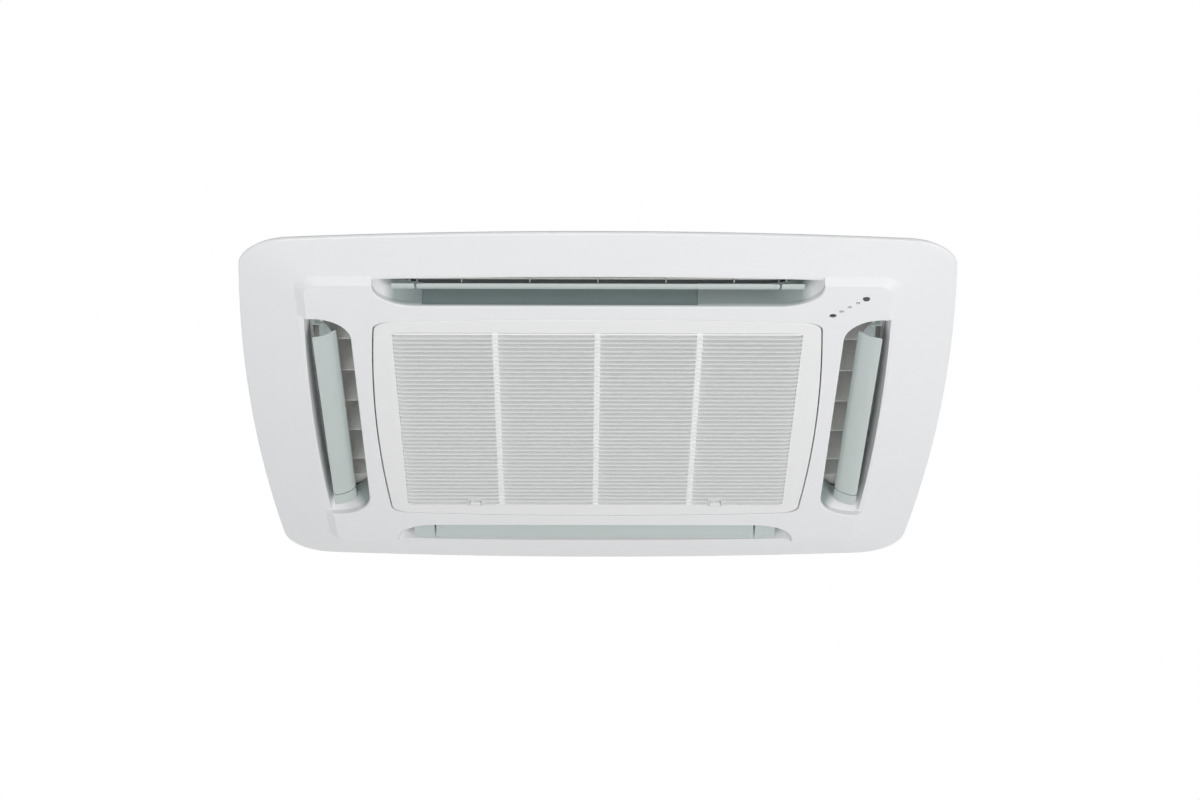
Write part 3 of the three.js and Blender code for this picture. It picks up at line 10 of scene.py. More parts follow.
import bpy
import numpy as np
from mathutils import Matrix, Vector


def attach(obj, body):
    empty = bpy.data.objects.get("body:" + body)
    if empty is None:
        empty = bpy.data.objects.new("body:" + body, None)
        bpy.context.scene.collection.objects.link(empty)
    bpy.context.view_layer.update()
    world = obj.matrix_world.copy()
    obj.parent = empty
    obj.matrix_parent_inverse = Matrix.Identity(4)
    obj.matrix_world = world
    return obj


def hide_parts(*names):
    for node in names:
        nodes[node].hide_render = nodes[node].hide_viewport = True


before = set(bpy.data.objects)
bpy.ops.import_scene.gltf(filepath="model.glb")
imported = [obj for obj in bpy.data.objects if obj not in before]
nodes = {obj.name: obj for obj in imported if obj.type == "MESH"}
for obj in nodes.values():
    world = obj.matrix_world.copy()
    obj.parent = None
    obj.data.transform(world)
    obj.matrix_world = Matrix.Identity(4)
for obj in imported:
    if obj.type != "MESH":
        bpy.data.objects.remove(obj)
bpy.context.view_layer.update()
MM = 0.001

# %% [markdown]
# ## The camera
#
# The photograph is taken from well back with a long lens, looking up at the panel. The corners of
# the square panel fix where such a camera stands, so its place, tilt and lens are written here as
# measured. A camera looks along its own -Z, so its axes are built from the direction it looks in.

# %% Camera
CAMERA_PLACE = (-0.030, -4.307, -2.268)
CAMERA_PITCH = math.radians(27.87)  # above the horizon
CAMERA_YAW = math.radians(0.47)  # towards +X
CAMERA_ROLL = math.radians(-0.11)
LENS, SENSOR = 101.5, 36.0  # mm

ahead = Vector((math.sin(CAMERA_YAW) * math.cos(CAMERA_PITCH),
                math.cos(CAMERA_YAW) * math.cos(CAMERA_PITCH), math.sin(CAMERA_PITCH)))
level_right = Vector((math.cos(CAMERA_YAW), -math.sin(CAMERA_YAW), 0))
level_up = level_right.cross(ahead)
right = level_right * math.cos(CAMERA_ROLL) + level_up * math.sin(CAMERA_ROLL)
up = level_up * math.cos(CAMERA_ROLL) - level_right * math.sin(CAMERA_ROLL)

camera_data = bpy.data.cameras.new("camera")
camera_data.lens = LENS
camera_data.sensor_width = SENSOR
camera_data.clip_end = 60.0
camera = bpy.data.objects.new("camera", camera_data)
facing = Matrix((right, up, -ahead)).transposed().to_4x4()
camera.matrix_world = Matrix.Translation(CAMERA_PLACE) @ facing
bpy.context.scene.collection.objects.link(camera)
bpy.context.scene.camera = camera
bpy.context.scene.view_settings.view_transform = "Standard"
print("camera:", LENS, "mm lens,", round((-Vector(CAMERA_PLACE)).length, 2), "m from the panel")

# %% [markdown]
# ## Shader arithmetic
#
# A material is a graph of small nodes. Written as nodes, a sum of two masks takes four lines, so
# one class wraps a socket and turns +, -, * and / into Math nodes. Every other node comes from
# `Graph.add`, which takes the node's type, its settings and the values or links of its sockets.

# %% Sockets that can be added and multiplied
def math_node(operation):
    """Two methods that add this Math node: self with other, and other with self."""
    def forward(self, other):
        return self.graph.add("Math", {"operation": operation}, {0: self, 1: other})

    def reflected(self, other):
        return self.graph.add("Math", {"operation": operation}, {0: other, 1: self})

    return forward, reflected


class Wire:
    """An output socket. Its arithmetic with numbers and other wires adds Math nodes."""

    def __init__(self, graph, socket):
        self.graph = graph
        self.socket = socket

    __add__, __radd__ = math_node("ADD")
    __sub__, __rsub__ = math_node("SUBTRACT")
    __mul__, __rmul__ = math_node("MULTIPLY")
    __truediv__, __rtruediv__ = math_node("DIVIDE")
    at_most, at_least = math_node("MINIMUM")[0], math_node("MAXIMUM")[0]
    above, wrapped = math_node("GREATER_THAN")[0], math_node("FLOORED_MODULO")[0]

    def unsigned(self):
        return self.at_least(self * -1.0)

    def rising(self, start, width):
        """0 below the start, 1 above start + width, and a straight slope between."""
        return ((self - start) / width).at_most(1.0).at_least(0.0)

    def falling(self, end, width):
        """1 below end - width, 0 above the end, and a straight slope between."""
        return ((end - self) / width).at_most(1.0).at_least(0.0)


class Graph:
    """A node tree. Any node comes from `add`, and what it returns can be reckoned with."""

    def __init__(self, tree):
        self.tree = tree

    def add(self, kind, settings=None, inputs=None, output=0):
        """A shader node of this kind. Settings come first, then its sockets' values or links."""
        node = self.tree.nodes.new("ShaderNode" + kind)
        for key, value in (settings or {}).items():
            setattr(node, key, value)
        for key, value in (inputs or {}).items():
            self.plug(node.inputs[key], value)
        return Wire(self, node.outputs[output])

    def plug(self, socket, value):
        if isinstance(value, Wire):
            self.tree.links.new(value.socket, socket)
        else:
            socket.default_value = value

    def seen(self):
        """1 for rays from the camera, and for those that a mirror or clear part sends on."""
        rays = [self.add("LightPath", output=f"Is {kind} Ray")
                for kind in ("Camera", "Glossy", "Transmission")]
        return (rays[0] + rays[1] + rays[2]).at_most(1.0)


print("shader arithmetic: ready")

# %% [markdown]
# A material starts from Blender's Principled shader. `Finish` holds it and names the few patterns
# that all materials here are mixed from: noise, cells, a blend of two colours and a bump. They
# read object coordinates, so a pattern stays with its piece when a joint moves it.

# %% Materials under construction
class Finish(Graph):
    """A material: its node tree and its Principled shader."""

    def __init__(self, name, roughness=0.5, metallic=0.0, color=(0.8, 0.8, 0.8)):
        self.material = bpy.data.materials.new(name)
        self.material.use_nodes = True
        super().__init__(self.material.node_tree)
        self.shader = self.tree.nodes["Principled BSDF"]
        self.set(Base_Color=(*color, 1), Roughness=roughness, Metallic=metallic)

    def set(self, **values):
        """Sets or links the shader's sockets. An underscore stands for a space."""
        for key, value in values.items():
            self.plug(self.shader.inputs[key.replace("_", " ")], value)
        return self

    def place(self):
        """Object coordinates, in metres."""
        return self.add("TexCoord", output="Object")

    def axis(self, name):
        return self.add("SeparateXYZ", inputs={0: self.place()}, output=name)

    def noise(self, scale, detail=2.0, rough=0.5):
        return self.add("TexNoise", None, {"Vector": self.place(), "Scale": scale,
                                           "Detail": detail, "Roughness": rough}, "Fac")

    def cells(self, scale, feature="F1", output="Distance"):
        return self.add("TexVoronoi", {"feature": feature},
                        {"Vector": self.place(), "Scale": scale}, output)

    def blend(self, share, first, second):
        """A colour between two colours."""
        return self.add("Mix", {"data_type": "RGBA"},
                        {0: share, 6: (*first, 1), 7: (*second, 1)}, 2)

    def shaded(self, share, color, change):
        """The same colour, from a little darker to a little lighter."""
        return self.blend(share, tuple(part * (1 - change) for part in color),
                          tuple(min(part * (1 + change), 1) for part in color))

    def bump(self, height, strength, distance):
        return self.add("Bump", None,
                        {"Strength": strength, "Distance": distance, "Height": height})


print("finishes: ready")

# %% [markdown]
# ## Moulded plastic
#
# Nearly everything that shows is injection moulded. Such a surface has a fine grain that scatters
# the highlight, and its colour drifts by a hair over a large part. So a slow noise moves the
# colour, and a fast one drives a very low bump and the roughness. The outlets' walls and the slats
# get painted shade and painted light by their place, and a mask for that is a slope along one
# coordinate.

# %% Three kinds of plastic
PANEL_WHITE = (0.800, 0.806, 0.822)
GRILLE_WHITE = (0.805, 0.815, 0.815)
LOUVRE_GREY = (0.52, 0.58, 0.57)
# Painted shade: deeper in, the outlets' white walls turn to this grey-green
WALL_SHADE_GREY = (0.34, 0.40, 0.39)
# Darker painted shade for the shallow hollow along each outlet's inner wall
HOLLOW_SHADE_GREY = (0.24, 0.305, 0.30)
GRAIN = 1400.0  # moulding grain, in waves per metre
GRAIN_HEIGHT = 0.00006  # metres
PLASTIC_IOR = 1.49
SLATS_X, SLATS_Y = 0.2805, 0.265  # half sizes of the field of slats, in metres
# Painted shade on the slats' lower edges and painted light on their sides, as shares of the colour
NOSE_SHADE, SIDE_LIGHT = 0.82, 1.12  # shares of the grille's colour


def moulded(name, color, roughness, drift=0.012):
    """Grained plastic: colour = two close shades mixed by slow noise, height = fast noise."""
    finish = Finish(name, roughness)
    fast = finish.noise(GRAIN, 3.0, 0.6)
    return finish.set(Base_Color=finish.shaded(finish.noise(6.0), color, drift),
                      Roughness=fast * 0.10 + (roughness - 0.05),
                      Normal=finish.bump(fast, 0.10, GRAIN_HEIGHT), IOR=PLASTIC_IOR).material


def slatted(name, color, roughness):
    """The grille's plastic: painted shade on the slats' lower edges, painted light between. The mix
    runs with the level inside the field of slats. Outside, it stands at the plain colour."""
    finish = Finish(name, roughness)
    # Painted shade for the slats' lower edges, painted light for their sides
    shaded_noses, lit_sides = (tuple(part * share for part in color) for share in (NOSE_SHADE, SIDE_LIGHT))
    plain = (1 - NOSE_SHADE) / (SIDE_LIGHT - NOSE_SHADE)
    level = finish.axis("Z").rising(-0.0305, 0.0022)
    field = (finish.axis("X").unsigned().falling(SLATS_X, 0.001)
             * finish.axis("Y").unsigned().falling(SLATS_Y, 0.001))
    fast = finish.noise(GRAIN, 3.0, 0.6)
    return finish.set(Base_Color=finish.blend(field * (level - plain) + plain, shaded_noses, lit_sides),
                      Normal=finish.bump(fast, 0.1, GRAIN_HEIGHT), IOR=PLASTIC_IOR).material


def shaded_walls(name, roughness):
    """The outlets' walls, with painted shade: panel white near the room, then a grey-green shade
    deeper in. The inner walls take the painted shade sooner, and each outlet's two tips stay pale."""
    finish = Finish(name, roughness)
    z = finish.axis("Z")
    x, y = finish.axis("X").unsigned(), finish.axis("Y").unsigned()
    inner = x.at_least(y).falling(0.393, 0.006)
    away_from_tips = x.at_most(y).falling(0.288, 0.014)
    early = z.rising(-0.0272, 0.006) * inner * away_from_tips
    depth = z.rising(-0.013, 0.024).at_least(early)
    fast = finish.noise(GRAIN, 3.0, 0.6)
    return finish.set(Base_Color=finish.blend(depth, PANEL_WHITE, WALL_SHADE_GREY),
                      Normal=finish.bump(fast, 0.08, GRAIN_HEIGHT), IOR=PLASTIC_IOR).material


panel_plastic = moulded("panel_plastic", PANEL_WHITE, 0.42)
# Painted shade for the outlets' walls and, darker, for the hollows in them
outlet_shade = shaded_walls("outlet_shade", 0.5)
hollow_shade = moulded("hollow_shade", HOLLOW_SHADE_GREY, 0.55)
# The grille, with painted shade and painted light on its slats
grille_plastic = slatted("grille_plastic", GRILLE_WHITE, 0.44)
louvre_plastic = moulded("louvre_plastic", LOUVRE_GREY, 0.36, drift=0.02)
light_grey = moulded("light_grey_plastic", (0.60, 0.62, 0.60), 0.5)
dark_grey = moulded("dark_grey_plastic", (0.055, 0.06, 0.062), 0.4)
filter_grey = moulded("filter_plastic", (0.40, 0.42, 0.40), 0.55)
print("plastics:", len(bpy.data.materials))

# %% [markdown]
# ## Sheet metal, foam, copper and rubber
#
# Above the ceiling the unit is made of sheet steel, expanded foam and copper. Zinc on steel
# freezes into flat crystals, so each cell of a cell pattern gets its own shade. Foam is beads
# pressed together, and the same pattern's distance to the nearest edge draws the seams between
# them. Drawn copper and brass keep fine scratches and tarnish in patches.

# %% Metals, foams and rubber
def galvanised(name, color, roughness=0.42):
    """Zinc coated sheet: flat crystals, each with its own shade and roughness, in two sizes."""
    finish = Finish(name, roughness, 1.0)
    big = finish.cells(70.0, output="Color")
    small = finish.cells(260.0, output="Color")
    shade = (finish.add("SeparateXYZ", None, {0: big}, "X") * 0.7
             + finish.add("SeparateXYZ", None, {0: small}, "Y") * 0.3)
    scratch = finish.noise(900.0, 4.0)
    return finish.set(Base_Color=finish.shaded(shade, color, 0.13),
                      Roughness=shade * 0.14 + (roughness - 0.07),
                      Normal=finish.bump(scratch, 0.08, 0.0001)).material


def foam(name, color, bead=260.0):
    """Expanded foam: beads pressed together, so dark seams run where two cells meet."""
    finish = Finish(name, 0.9)
    bulge = (finish.cells(bead, "DISTANCE_TO_EDGE") * 9.0).at_most(1.0)
    return finish.set(Base_Color=finish.shaded(bulge, color, 0.05),
                      Normal=finish.bump(bulge, 0.35, 0.0003)).material


def drawn_metal(name, color, roughness):
    """Bright drawn metal with fine scratches and a faint tarnish."""
    finish = Finish(name, roughness, 1.0)
    scratches = finish.noise(1800.0, 4.0)
    tarnish = finish.noise(40.0, 3.0)
    return finish.set(Base_Color=finish.shaded(tarnish, color, 0.16),
                      Roughness=tarnish * 0.16 + (roughness - 0.06),
                      Normal=finish.bump(scratches, 0.06, 0.0001)).material


def rubber(name, color):
    """Dull rubber with dust in patches, which lighten it and stand up a little."""
    finish = Finish(name, 0.8)
    dust = finish.noise(180.0, 4.0)
    return finish.set(Base_Color=finish.shaded(dust, color, 0.3),
                      Normal=finish.bump(dust, 0.2, 0.0002)).material


zinc_sheet = galvanised("zinc_sheet", (0.56, 0.58, 0.59))
zinc_steel = drawn_metal("zinc_steel", (0.60, 0.61, 0.62), 0.32)
copper = drawn_metal("copper", (0.78, 0.34, 0.18), 0.30)
brass = drawn_metal("brass", (0.74, 0.53, 0.22), 0.28)
white_foam = foam("white_foam", (0.80, 0.80, 0.78))
grey_foam = foam("grey_foam", (0.10, 0.11, 0.11), 900.0)
black_rubber = rubber("black_rubber", (0.022, 0.022, 0.024))
print("materials so far:", len(bpy.data.materials))

# %% [markdown]
# ## Three finishes with a pattern
#
# The coil is a stack of thin aluminium plates, so its sides are fine upright lines. The filter is
# a woven net, and the circuit boards are green resin with copper tracks under it. Each pattern is
# a wrapped coordinate: the remainder of x over the pitch, made a mask by comparing it.

# %% Fins, net and circuit board
def finned(name, pitch, share):
    """Aluminium plates: along each side of the coil, every pitch has a plate and a dark gap."""
    finish = Finish(name, 0.42, 0.35)
    x, y = finish.axis("X"), finish.axis("Y")
    side = (x * x).above(y * y)
    along = side * y + (1 - side) * x
    plate = (along.wrapped(pitch)).above(pitch * share)
    return finish.set(Base_Color=finish.blend(plate, (0.30, 0.33, 0.34), (0.70, 0.75, 0.78)),
                      Normal=finish.bump(plate, 0.5, 0.0006)).material


def woven(name, pitch):
    """A net: threads in two directions, each a mask on a wrapped coordinate."""
    finish = Finish(name, 0.7)
    across_x, across_y = [finish.axis(axis).wrapped(pitch).above(pitch * 0.62) for axis in "XY"]
    thread = (across_x + across_y).at_most(1.0)
    return finish.set(Base_Color=finish.blend(thread, (0.035, 0.04, 0.04), (0.26, 0.28, 0.28)),
                      Normal=finish.bump(thread, 0.6, 0.0004)).material


def circuit(name):
    """Green resin over copper tracks: narrow lines that a slow noise interrupts."""
    finish = Finish(name, 0.3)
    track = finish.axis("X").wrapped(0.0038).above(0.0025) * finish.noise(90.0).above(0.48)
    return finish.set(Base_Color=finish.blend(track, (0.010, 0.085, 0.030), (0.022, 0.17, 0.055)),
                      Coat_Weight=0.6).material


coil_metal = finned("coil_fins", 0.0016, 0.45)
filter_net = woven("filter_net", 0.0024)
board_green = circuit("circuit_board")
lens_dark = Finish("lens_dark", 0.12, color=(0.020, 0.022, 0.026)).set(Coat_Weight=0.5).material
lens_clear = Finish("lens_clear", 0.2, color=(0.45, 0.50, 0.46)).material
print("materials:", len(bpy.data.materials))

# %% [markdown]
# ## Surfaces from arrays
#
# Each new piece is a grid of points: rows follow a profile and columns follow an outline, and the
# whole grid is worked out at once with numpy. Neighbouring points then become four-sided faces. A
# closed grid with filled ends is a solid, and solids can be joined to and cut from each other.

# %% Grid to mesh
def new_piece(name, points, faces, *materials):
    """An object at the origin from points in millimetres."""
    mesh = bpy.data.meshes.new(name)
    mesh.from_pydata(np.asarray(points).reshape(-1, 3) * MM, [], faces)
    for material in materials:
        mesh.materials.append(material)
    piece = bpy.data.objects.new(name, mesh)
    bpy.context.scene.collection.objects.link(piece)
    return piece


def skin_faces(rows, columns, closed=True, ends=True, start=0):
    """Four-sided faces between neighbours. The ends are the first and the last row."""
    index = start + np.arange(rows * columns).reshape(rows, columns)
    wide = np.column_stack([index, index[:, :1]]) if closed else index
    quads = np.stack([wide[:-1, :-1], wide[:-1, 1:], wide[1:, 1:], wide[1:, :-1]], -1)
    faces = quads.reshape(-1, 4).tolist()
    if ends:
        faces += [index[0, ::-1].tolist(), index[-1].tolist()]
    return faces


def solid(name, grid, *materials):
    """A closed solid from rows of one outline, lowest row first."""
    rows, columns = grid.shape[:2]
    return new_piece(name, grid, skin_faces(rows, columns), *materials)


def stack(outlines, levels):
    """Rows of plan outlines (rows, points, 2), each lifted to its own level."""
    outlines = np.asarray(outlines, float)
    lift = np.broadcast_to(np.asarray(levels, float)[:, None, None], outlines.shape[:2] + (1,))
    return np.concatenate([outlines, lift], -1)


def upright(outline, low, high):
    """The grid of a straight prism."""
    return stack([outline, outline], [low, high])


def quarter_turned(grid, turns):
    """The same points turned about the Z axis by whole quarter turns."""
    cosine, sine = [(1, 0), (0, 1), (-1, 0), (0, -1)][turns % 4]
    x, y = grid[..., 0], grid[..., 1]
    return np.stack([x * cosine - y * sine, x * sine + y * cosine, grid[..., 2]], -1)


def box_grid(x0, x1, y0, y1, z0, z1):
    return upright(np.array([[x0, y0], [x1, y0], [x1, y1], [x0, y1]]), z0, z1)


print("faces of a box:", len(skin_faces(2, 4)))

# %% [markdown]
# A moulding is quickest to build like this: start from the closed envelope, take the hollow out,
# add the walls and then cut the openings, each step with Booleans. The last function gives the
# finished piece its shading, the body it moves with, and the construction parts it stands in for.

# %% Joining, cutting and finishing
def combine(piece, others, operation="DIFFERENCE"):
    """Joins the others to the piece or cuts them out of it, and removes them. A bare grid
    becomes a solid with the piece's own finishes, and its faces get the first of them."""
    others = [solid("tool", other, *piece.data.materials)
              if isinstance(other, np.ndarray) else other for other in others]
    for other in others:
        change = piece.modifiers.new("change", "BOOLEAN")
        change.operation = operation
        change.object = other
        change.solver = "MANIFOLD"
    view = bpy.context.evaluated_depsgraph_get()
    mesh = bpy.data.meshes.new_from_object(piece.evaluated_get(view))
    piece.modifiers.clear()
    piece.data = mesh
    for other in others:
        bpy.data.objects.remove(other)
    return piece


def finish_piece(piece, body, slot, *replaced, crisp=32):
    """Smooth shading with crisp edges above an angle, and the piece's place in the assembly."""
    piece.data.shade_smooth()
    piece.data.set_sharp_from_angle(angle=math.radians(crisp))
    piece.modifiers.new("even normals", "WEIGHTED_NORMAL").keep_sharp = True
    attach(piece, body)
    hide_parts(*replaced)
    return piece


print("tools: join, cut, intersect")

# %% [markdown]
# ## Outlines and rounded profiles
#
# The panel and its grille are squares whose sides bow outwards, which keeps a large moulding from
# looking sunken. Each side is an arc of a very large circle and each corner is a small circle
# inside it, so the corner's centre lies at (large - small) from both side centres.

# %% Bowed rectangles
def bowed(half_x, half_y, bow, corner, side_steps=10, corner_steps=12):
    """Rectangles with bowed sides: arrays of half widths give an array (rows, points, 2).

    One quadrant is half a side arc, a corner arc and half an end arc. The corner centre solves
    centre_x = half_x - bow + sqrt((bow - corner)^2 - centre_y^2), and the same for y. The other
    quadrants mirror it."""
    sizes = np.broadcast_arrays(half_x, half_y, bow, corner)
    half_x, half_y, bow, corner = [size[..., None].astype(float) for size in sizes]
    reach = bow - corner
    centre_x, centre_y = half_x - corner, half_y - corner
    for _ in range(40):
        centre_x = half_x - bow + np.sqrt(reach ** 2 - centre_y ** 2)
        centre_y = half_y - bow + np.sqrt(reach ** 2 - centre_x ** 2)
    low = np.arctan2(centre_y, centre_x - half_x + bow)
    high = np.arctan2(centre_y - half_y + bow, centre_x)
    share = np.linspace(0, 1, side_steps, endpoint=False)
    bend = low + (high - low) * np.linspace(0, 1, corner_steps, endpoint=False)
    rest = high + (math.pi / 2 - high) * np.linspace(0, 1, side_steps + 1)
    x = np.concatenate([half_x - bow + bow * np.cos(low * share), centre_x + corner * np.cos(bend),
                        bow * np.cos(rest)], -1)
    y = np.concatenate([bow * np.sin(low * share), centre_y + corner * np.sin(bend),
                        half_y - bow + bow * np.sin(rest)], -1)
    x = x * (x > 1e-9)
    back_x, back_y = x[..., ::-1], y[..., ::-1]
    quarters = [[x, -back_x, -x, back_x], [y, back_y, -y, -back_y]]
    return np.stack([np.concatenate([part[..., :-1] for part in four], -1)
                     for four in quarters], -1)


print("outline:", bowed(495, 495, 5100, 75).shape[0], "points round the panel")

# %% [markdown]
# Small parts need three more shapes: a rectangle with round corners for flat pieces, a line whose
# corners are arcs for cross sections, and a profile that is turned about an upright axis for
# everything round.

# %% Round corners and turned profiles
def rounded(half_x, half_y, corner, x=0.0, y=0.0, steps=6):
    """A rectangle whose corners are quarter circles."""
    angle = np.concatenate([np.linspace(k, k + 1, steps + 1) for k in range(4)]) * math.pi / 2
    sign_x = np.repeat([1, -1, -1, 1], steps + 1)
    sign_y = np.repeat([1, 1, -1, -1], steps + 1)
    return np.stack([x + sign_x * (half_x - corner) + corner * np.cos(angle),
                     y + sign_y * (half_y - corner) + corner * np.sin(angle)], -1)


def filleted(corners, radii, steps=6):
    """A line of corners with an arc at each inner one, which touches both legs at
    radius * tan(half the turn) from the corner."""
    corners = np.asarray(corners, float)
    rows = [corners[:1]]
    for before, here, after, radius in zip(corners[:-2], corners[1:-1], corners[2:], radii):
        into = (here - before) / np.linalg.norm(here - before)
        out = (after - here) / np.linalg.norm(after - here)
        turn = math.atan2(into[0] * out[1] - into[1] * out[0], into @ out)
        inward = np.array([-into[1], into[0]]) * math.copysign(1, turn)
        start = here - into * radius * math.tan(abs(turn) / 2)
        angle = np.linspace(0, abs(turn), steps)[:, None]
        rows.append(start + radius * (np.sin(angle) * into + (1 - np.cos(angle)) * inward))
    return np.concatenate(rows + [corners[-1:]])


def turned(profile, sides, x=0.0, y=0.0):
    """A profile of (radius, height) carried round an upright axis, its first row lowest."""
    profile = np.asarray(profile, float)
    angle = np.linspace(0, 2 * math.pi, sides, endpoint=False)
    radius = profile[:, :1]
    return np.stack([x + radius * np.cos(angle), y + radius * np.sin(angle),
                     np.broadcast_to(profile[:, 1:], (len(profile), sides))], -1)


def lofted(outline, rows):
    """The outline, grown by so much, at each of the rows (growth, level)."""
    return stack([outline(grow) for grow, _ in rows], [level for _, level in rows])


print("a turned disc:", turned([(1, 0), (1, 1)], 24).shape, "rows, columns, axes")

# %% [markdown]
# ## The decoration panel
#
# The panel is one moulding, 990 mm square. From the ceiling its border slopes down to the foot of
# a raised middle, and four curved outlets are cut through both. The envelope is a profile of half
# width and level, with small arcs where two slopes meet, carried round the bowed square. A box
# with a bevel would be simpler, but here each level needs an outline of its own.

# %% The panel's outside and its hollow back
PANEL_HALF = 495.0
MIDDLE, FLAT, FOOT = 380.0, 396.5, 409.0  # half widths: inside, at the edge and at the foot
BOW = 5100.0  # radius of the border's sides
PAD_BOW = 26000.0  # and of the raised middle's
FACE = -28.0  # the lowest face
BORDER = -20.0  # foot of the raised middle
SKIN = 3.0
profile = filleted([(MIDDLE, FACE), (FLAT, FACE), (FOOT, BORDER), (493.6, -7.0),
                    (PANEL_HALF, -5.6), (PANEL_HALF, -3.0), (492.0, -2.7), (492.0, 0.0)],
                   (3.2, 4.0, 0.8, 0.8, 0.2, 0.2))


def panel_rings(half):
    """Corner radius grows with the half width. The raised middle is nearly straight sided, and
    only the border bows outwards."""
    corner = np.interp(half, [MIDDLE, FLAT, FOOT, PANEL_HALF], [14, 20, 30, 75])
    return bowed(half, half, np.where(half < 450, PAD_BOW, BOW), corner, 24, 20)


def panel_solid(grid, index=0, name="panel_part"):
    """A solid with the panel's finishes. The index picks the plastic, the outlets' painted shade or
    the hollows' darker painted shade for all its faces."""
    part = solid(name, grid, panel_plastic, outlet_shade, hollow_shade)
    count = len(part.data.polygons)
    part.data.polygons.foreach_set("material_index", np.full(count, index, np.int32))
    return part


panel = panel_solid(stack(panel_rings(profile[:, 0]), profile[:, 1]), name="panel_shell")
hollow_half = np.array([390.0, 406.0, 489.0, 489.0])
hollow_level = [FACE + SKIN, BORDER + SKIN, -4.0, 1.0]
combine(panel, [stack(panel_rings(hollow_half), hollow_level)])
print("panel outside:", len(panel.data.polygons), "faces")

# %% [markdown]
# ## The four outlets
#
# Seen from below an outlet is a long slot with a bowed outer edge, small blunt outer corners and a
# quarter ellipse at each inner corner. Its outer and end walls lean in on the way up, so that a
# pale ramp shows at each end. Where the slot meets the face, the edge is rounded over: the outline
# widens along a quarter circle in the last two millimetres.

# %% Outline of an outlet
OUTER, INNER, TIP = 406.0, 338.0, 302.0  # the outlet's edges, from the unit's middle
LEAN_OUT, LEAN_END = 5.0, 18.0
SLOT_BOW = 6500.0
BLUNT = 6.0  # radius of the outer corners
TIP_RUN, TIP_RISE = 58.0, 50.0  # half axes of the ellipse at an inner corner
SHELF = 416.0  # the raised middle is cut away out to here
COLLAR = 10.0  # the walls end this high above the ceiling line
LIP = 2.2  # radius of the rounded edge


def slot_outline(tip, outer, grow):
    """A near-side outlet: edge y = outer - x^2 / (2 bow), an arc at the blunt corner, then the
    ellipse x = tip - run (1 - cos a), y = inner + rise (1 - sin a). The left half mirrors it."""
    end = tip + grow
    rise = TIP_RISE - max(OUTER - outer, 0.0)
    along = np.append(np.linspace(0, end - BLUNT, 24, endpoint=False), end - BLUNT)
    edge = outer + grow - along * along / (2 * SLOT_BOW)
    bend = np.linspace(0, math.pi / 2, 7)
    sweep = np.linspace(0, math.pi / 2, 22)
    x = np.concatenate([along[:-1], end - BLUNT + BLUNT * np.sin(bend),
                        end - TIP_RUN * (1 - np.cos(sweep))])
    y = np.concatenate([edge[:-1], edge[-1] - BLUNT + BLUNT * np.cos(bend),
                        INNER - grow + rise * (1 - np.sin(sweep))])
    return np.stack([np.concatenate([x, -x[:0:-1]]), -np.concatenate([y, y[:0:-1]])], -1)


def rounded_edge(radius, steps):
    """(growth, level) along the quarter circle that rounds an opening's edge at the face."""
    return [(radius * (1 - math.sin(a)), FACE + radius * (1 - math.cos(a)))
            for a in np.linspace(0, math.pi / 2, steps)]


def outlet_grid(grow, low, high, lip=0.0):
    """Rows of the outlet from below up: the flared lip, the straight part, the leaning walls."""
    rows = [(TIP, SHELF, grow + lip, low)]
    rows += [(TIP, SHELF, grow + wider, level) for wider, level in rounded_edge(lip, 6) if lip]
    rows += [(TIP, SHELF, grow, BORDER - 0.05), (TIP, OUTER, grow, BORDER)]
    lean = np.linspace(0, 1, 5)[1:]
    rows += [(TIP - LEAN_END * s, OUTER - LEAN_OUT * s, grow, BORDER * (1 - s)) for s in lean]
    rows += [(TIP - LEAN_END, OUTER - LEAN_OUT, grow, high)]
    return stack([slot_outline(*row[:3]) for row in rows], [row[3] for row in rows])


print("one outlet:", 2 * TIP, "by", OUTER - INNER, "mm")

# %% [markdown]
# The walls come first: each outlet's outline, wider by a wall's thickness, makes a solid block
# inside the hollow back. The recess for the grille and the intake collar are two more. They are
# trimmed to the panel's own outside and joined to it in one go.

# %% Walls behind the panel
WALL = 2.5
GRILLE_X, GRILLE_Y, GRILLE_BOW = 314.8, 303.5, 4000.0
RECESS_GAP = 1.5
LEDGE = -8.0  # the recess ends at this level
INTAKE_X, INTAKE_Y = 285.3, 274.0


def grille_outline(grow, corner=25.0):
    return bowed(GRILLE_X + grow, GRILLE_Y + grow, GRILLE_BOW, corner + grow, 16, 12)


def recess_outline(grow):
    return grille_outline(RECESS_GAP + grow, 19.5)


outlet_wall, *walls = [quarter_turned(outlet_grid(WALL, FACE + 1, COLLAR), k) for k in range(4)]
walls.append(upright(recess_outline(WALL), FACE + 1, LEDGE + WALL))
walls.append(upright(rounded(INTAKE_X + WALL, INTAKE_Y + WALL, 14), LEDGE, COLLAR))
inside = combine(panel_solid(outlet_wall), walls, "UNION")
trim = stack(panel_rings(np.array([396.4, 408.9, 408.9])), [FACE + 0.5, BORDER + 0.5, COLLAR + 1])
combine(inside, [trim], "INTERSECT")
combine(panel, [inside], "UNION")
print("panel with walls:", len(panel.data.polygons), "faces")

# %% [markdown]
# Then the openings are cut. A cut leaves the cutter's own faces behind, with the cutter's finish,
# so a cutter decides where an outlet is panel white and where its painted shade starts: at the
# top of the straight part, and on the inner wall already just above the rounded edge.

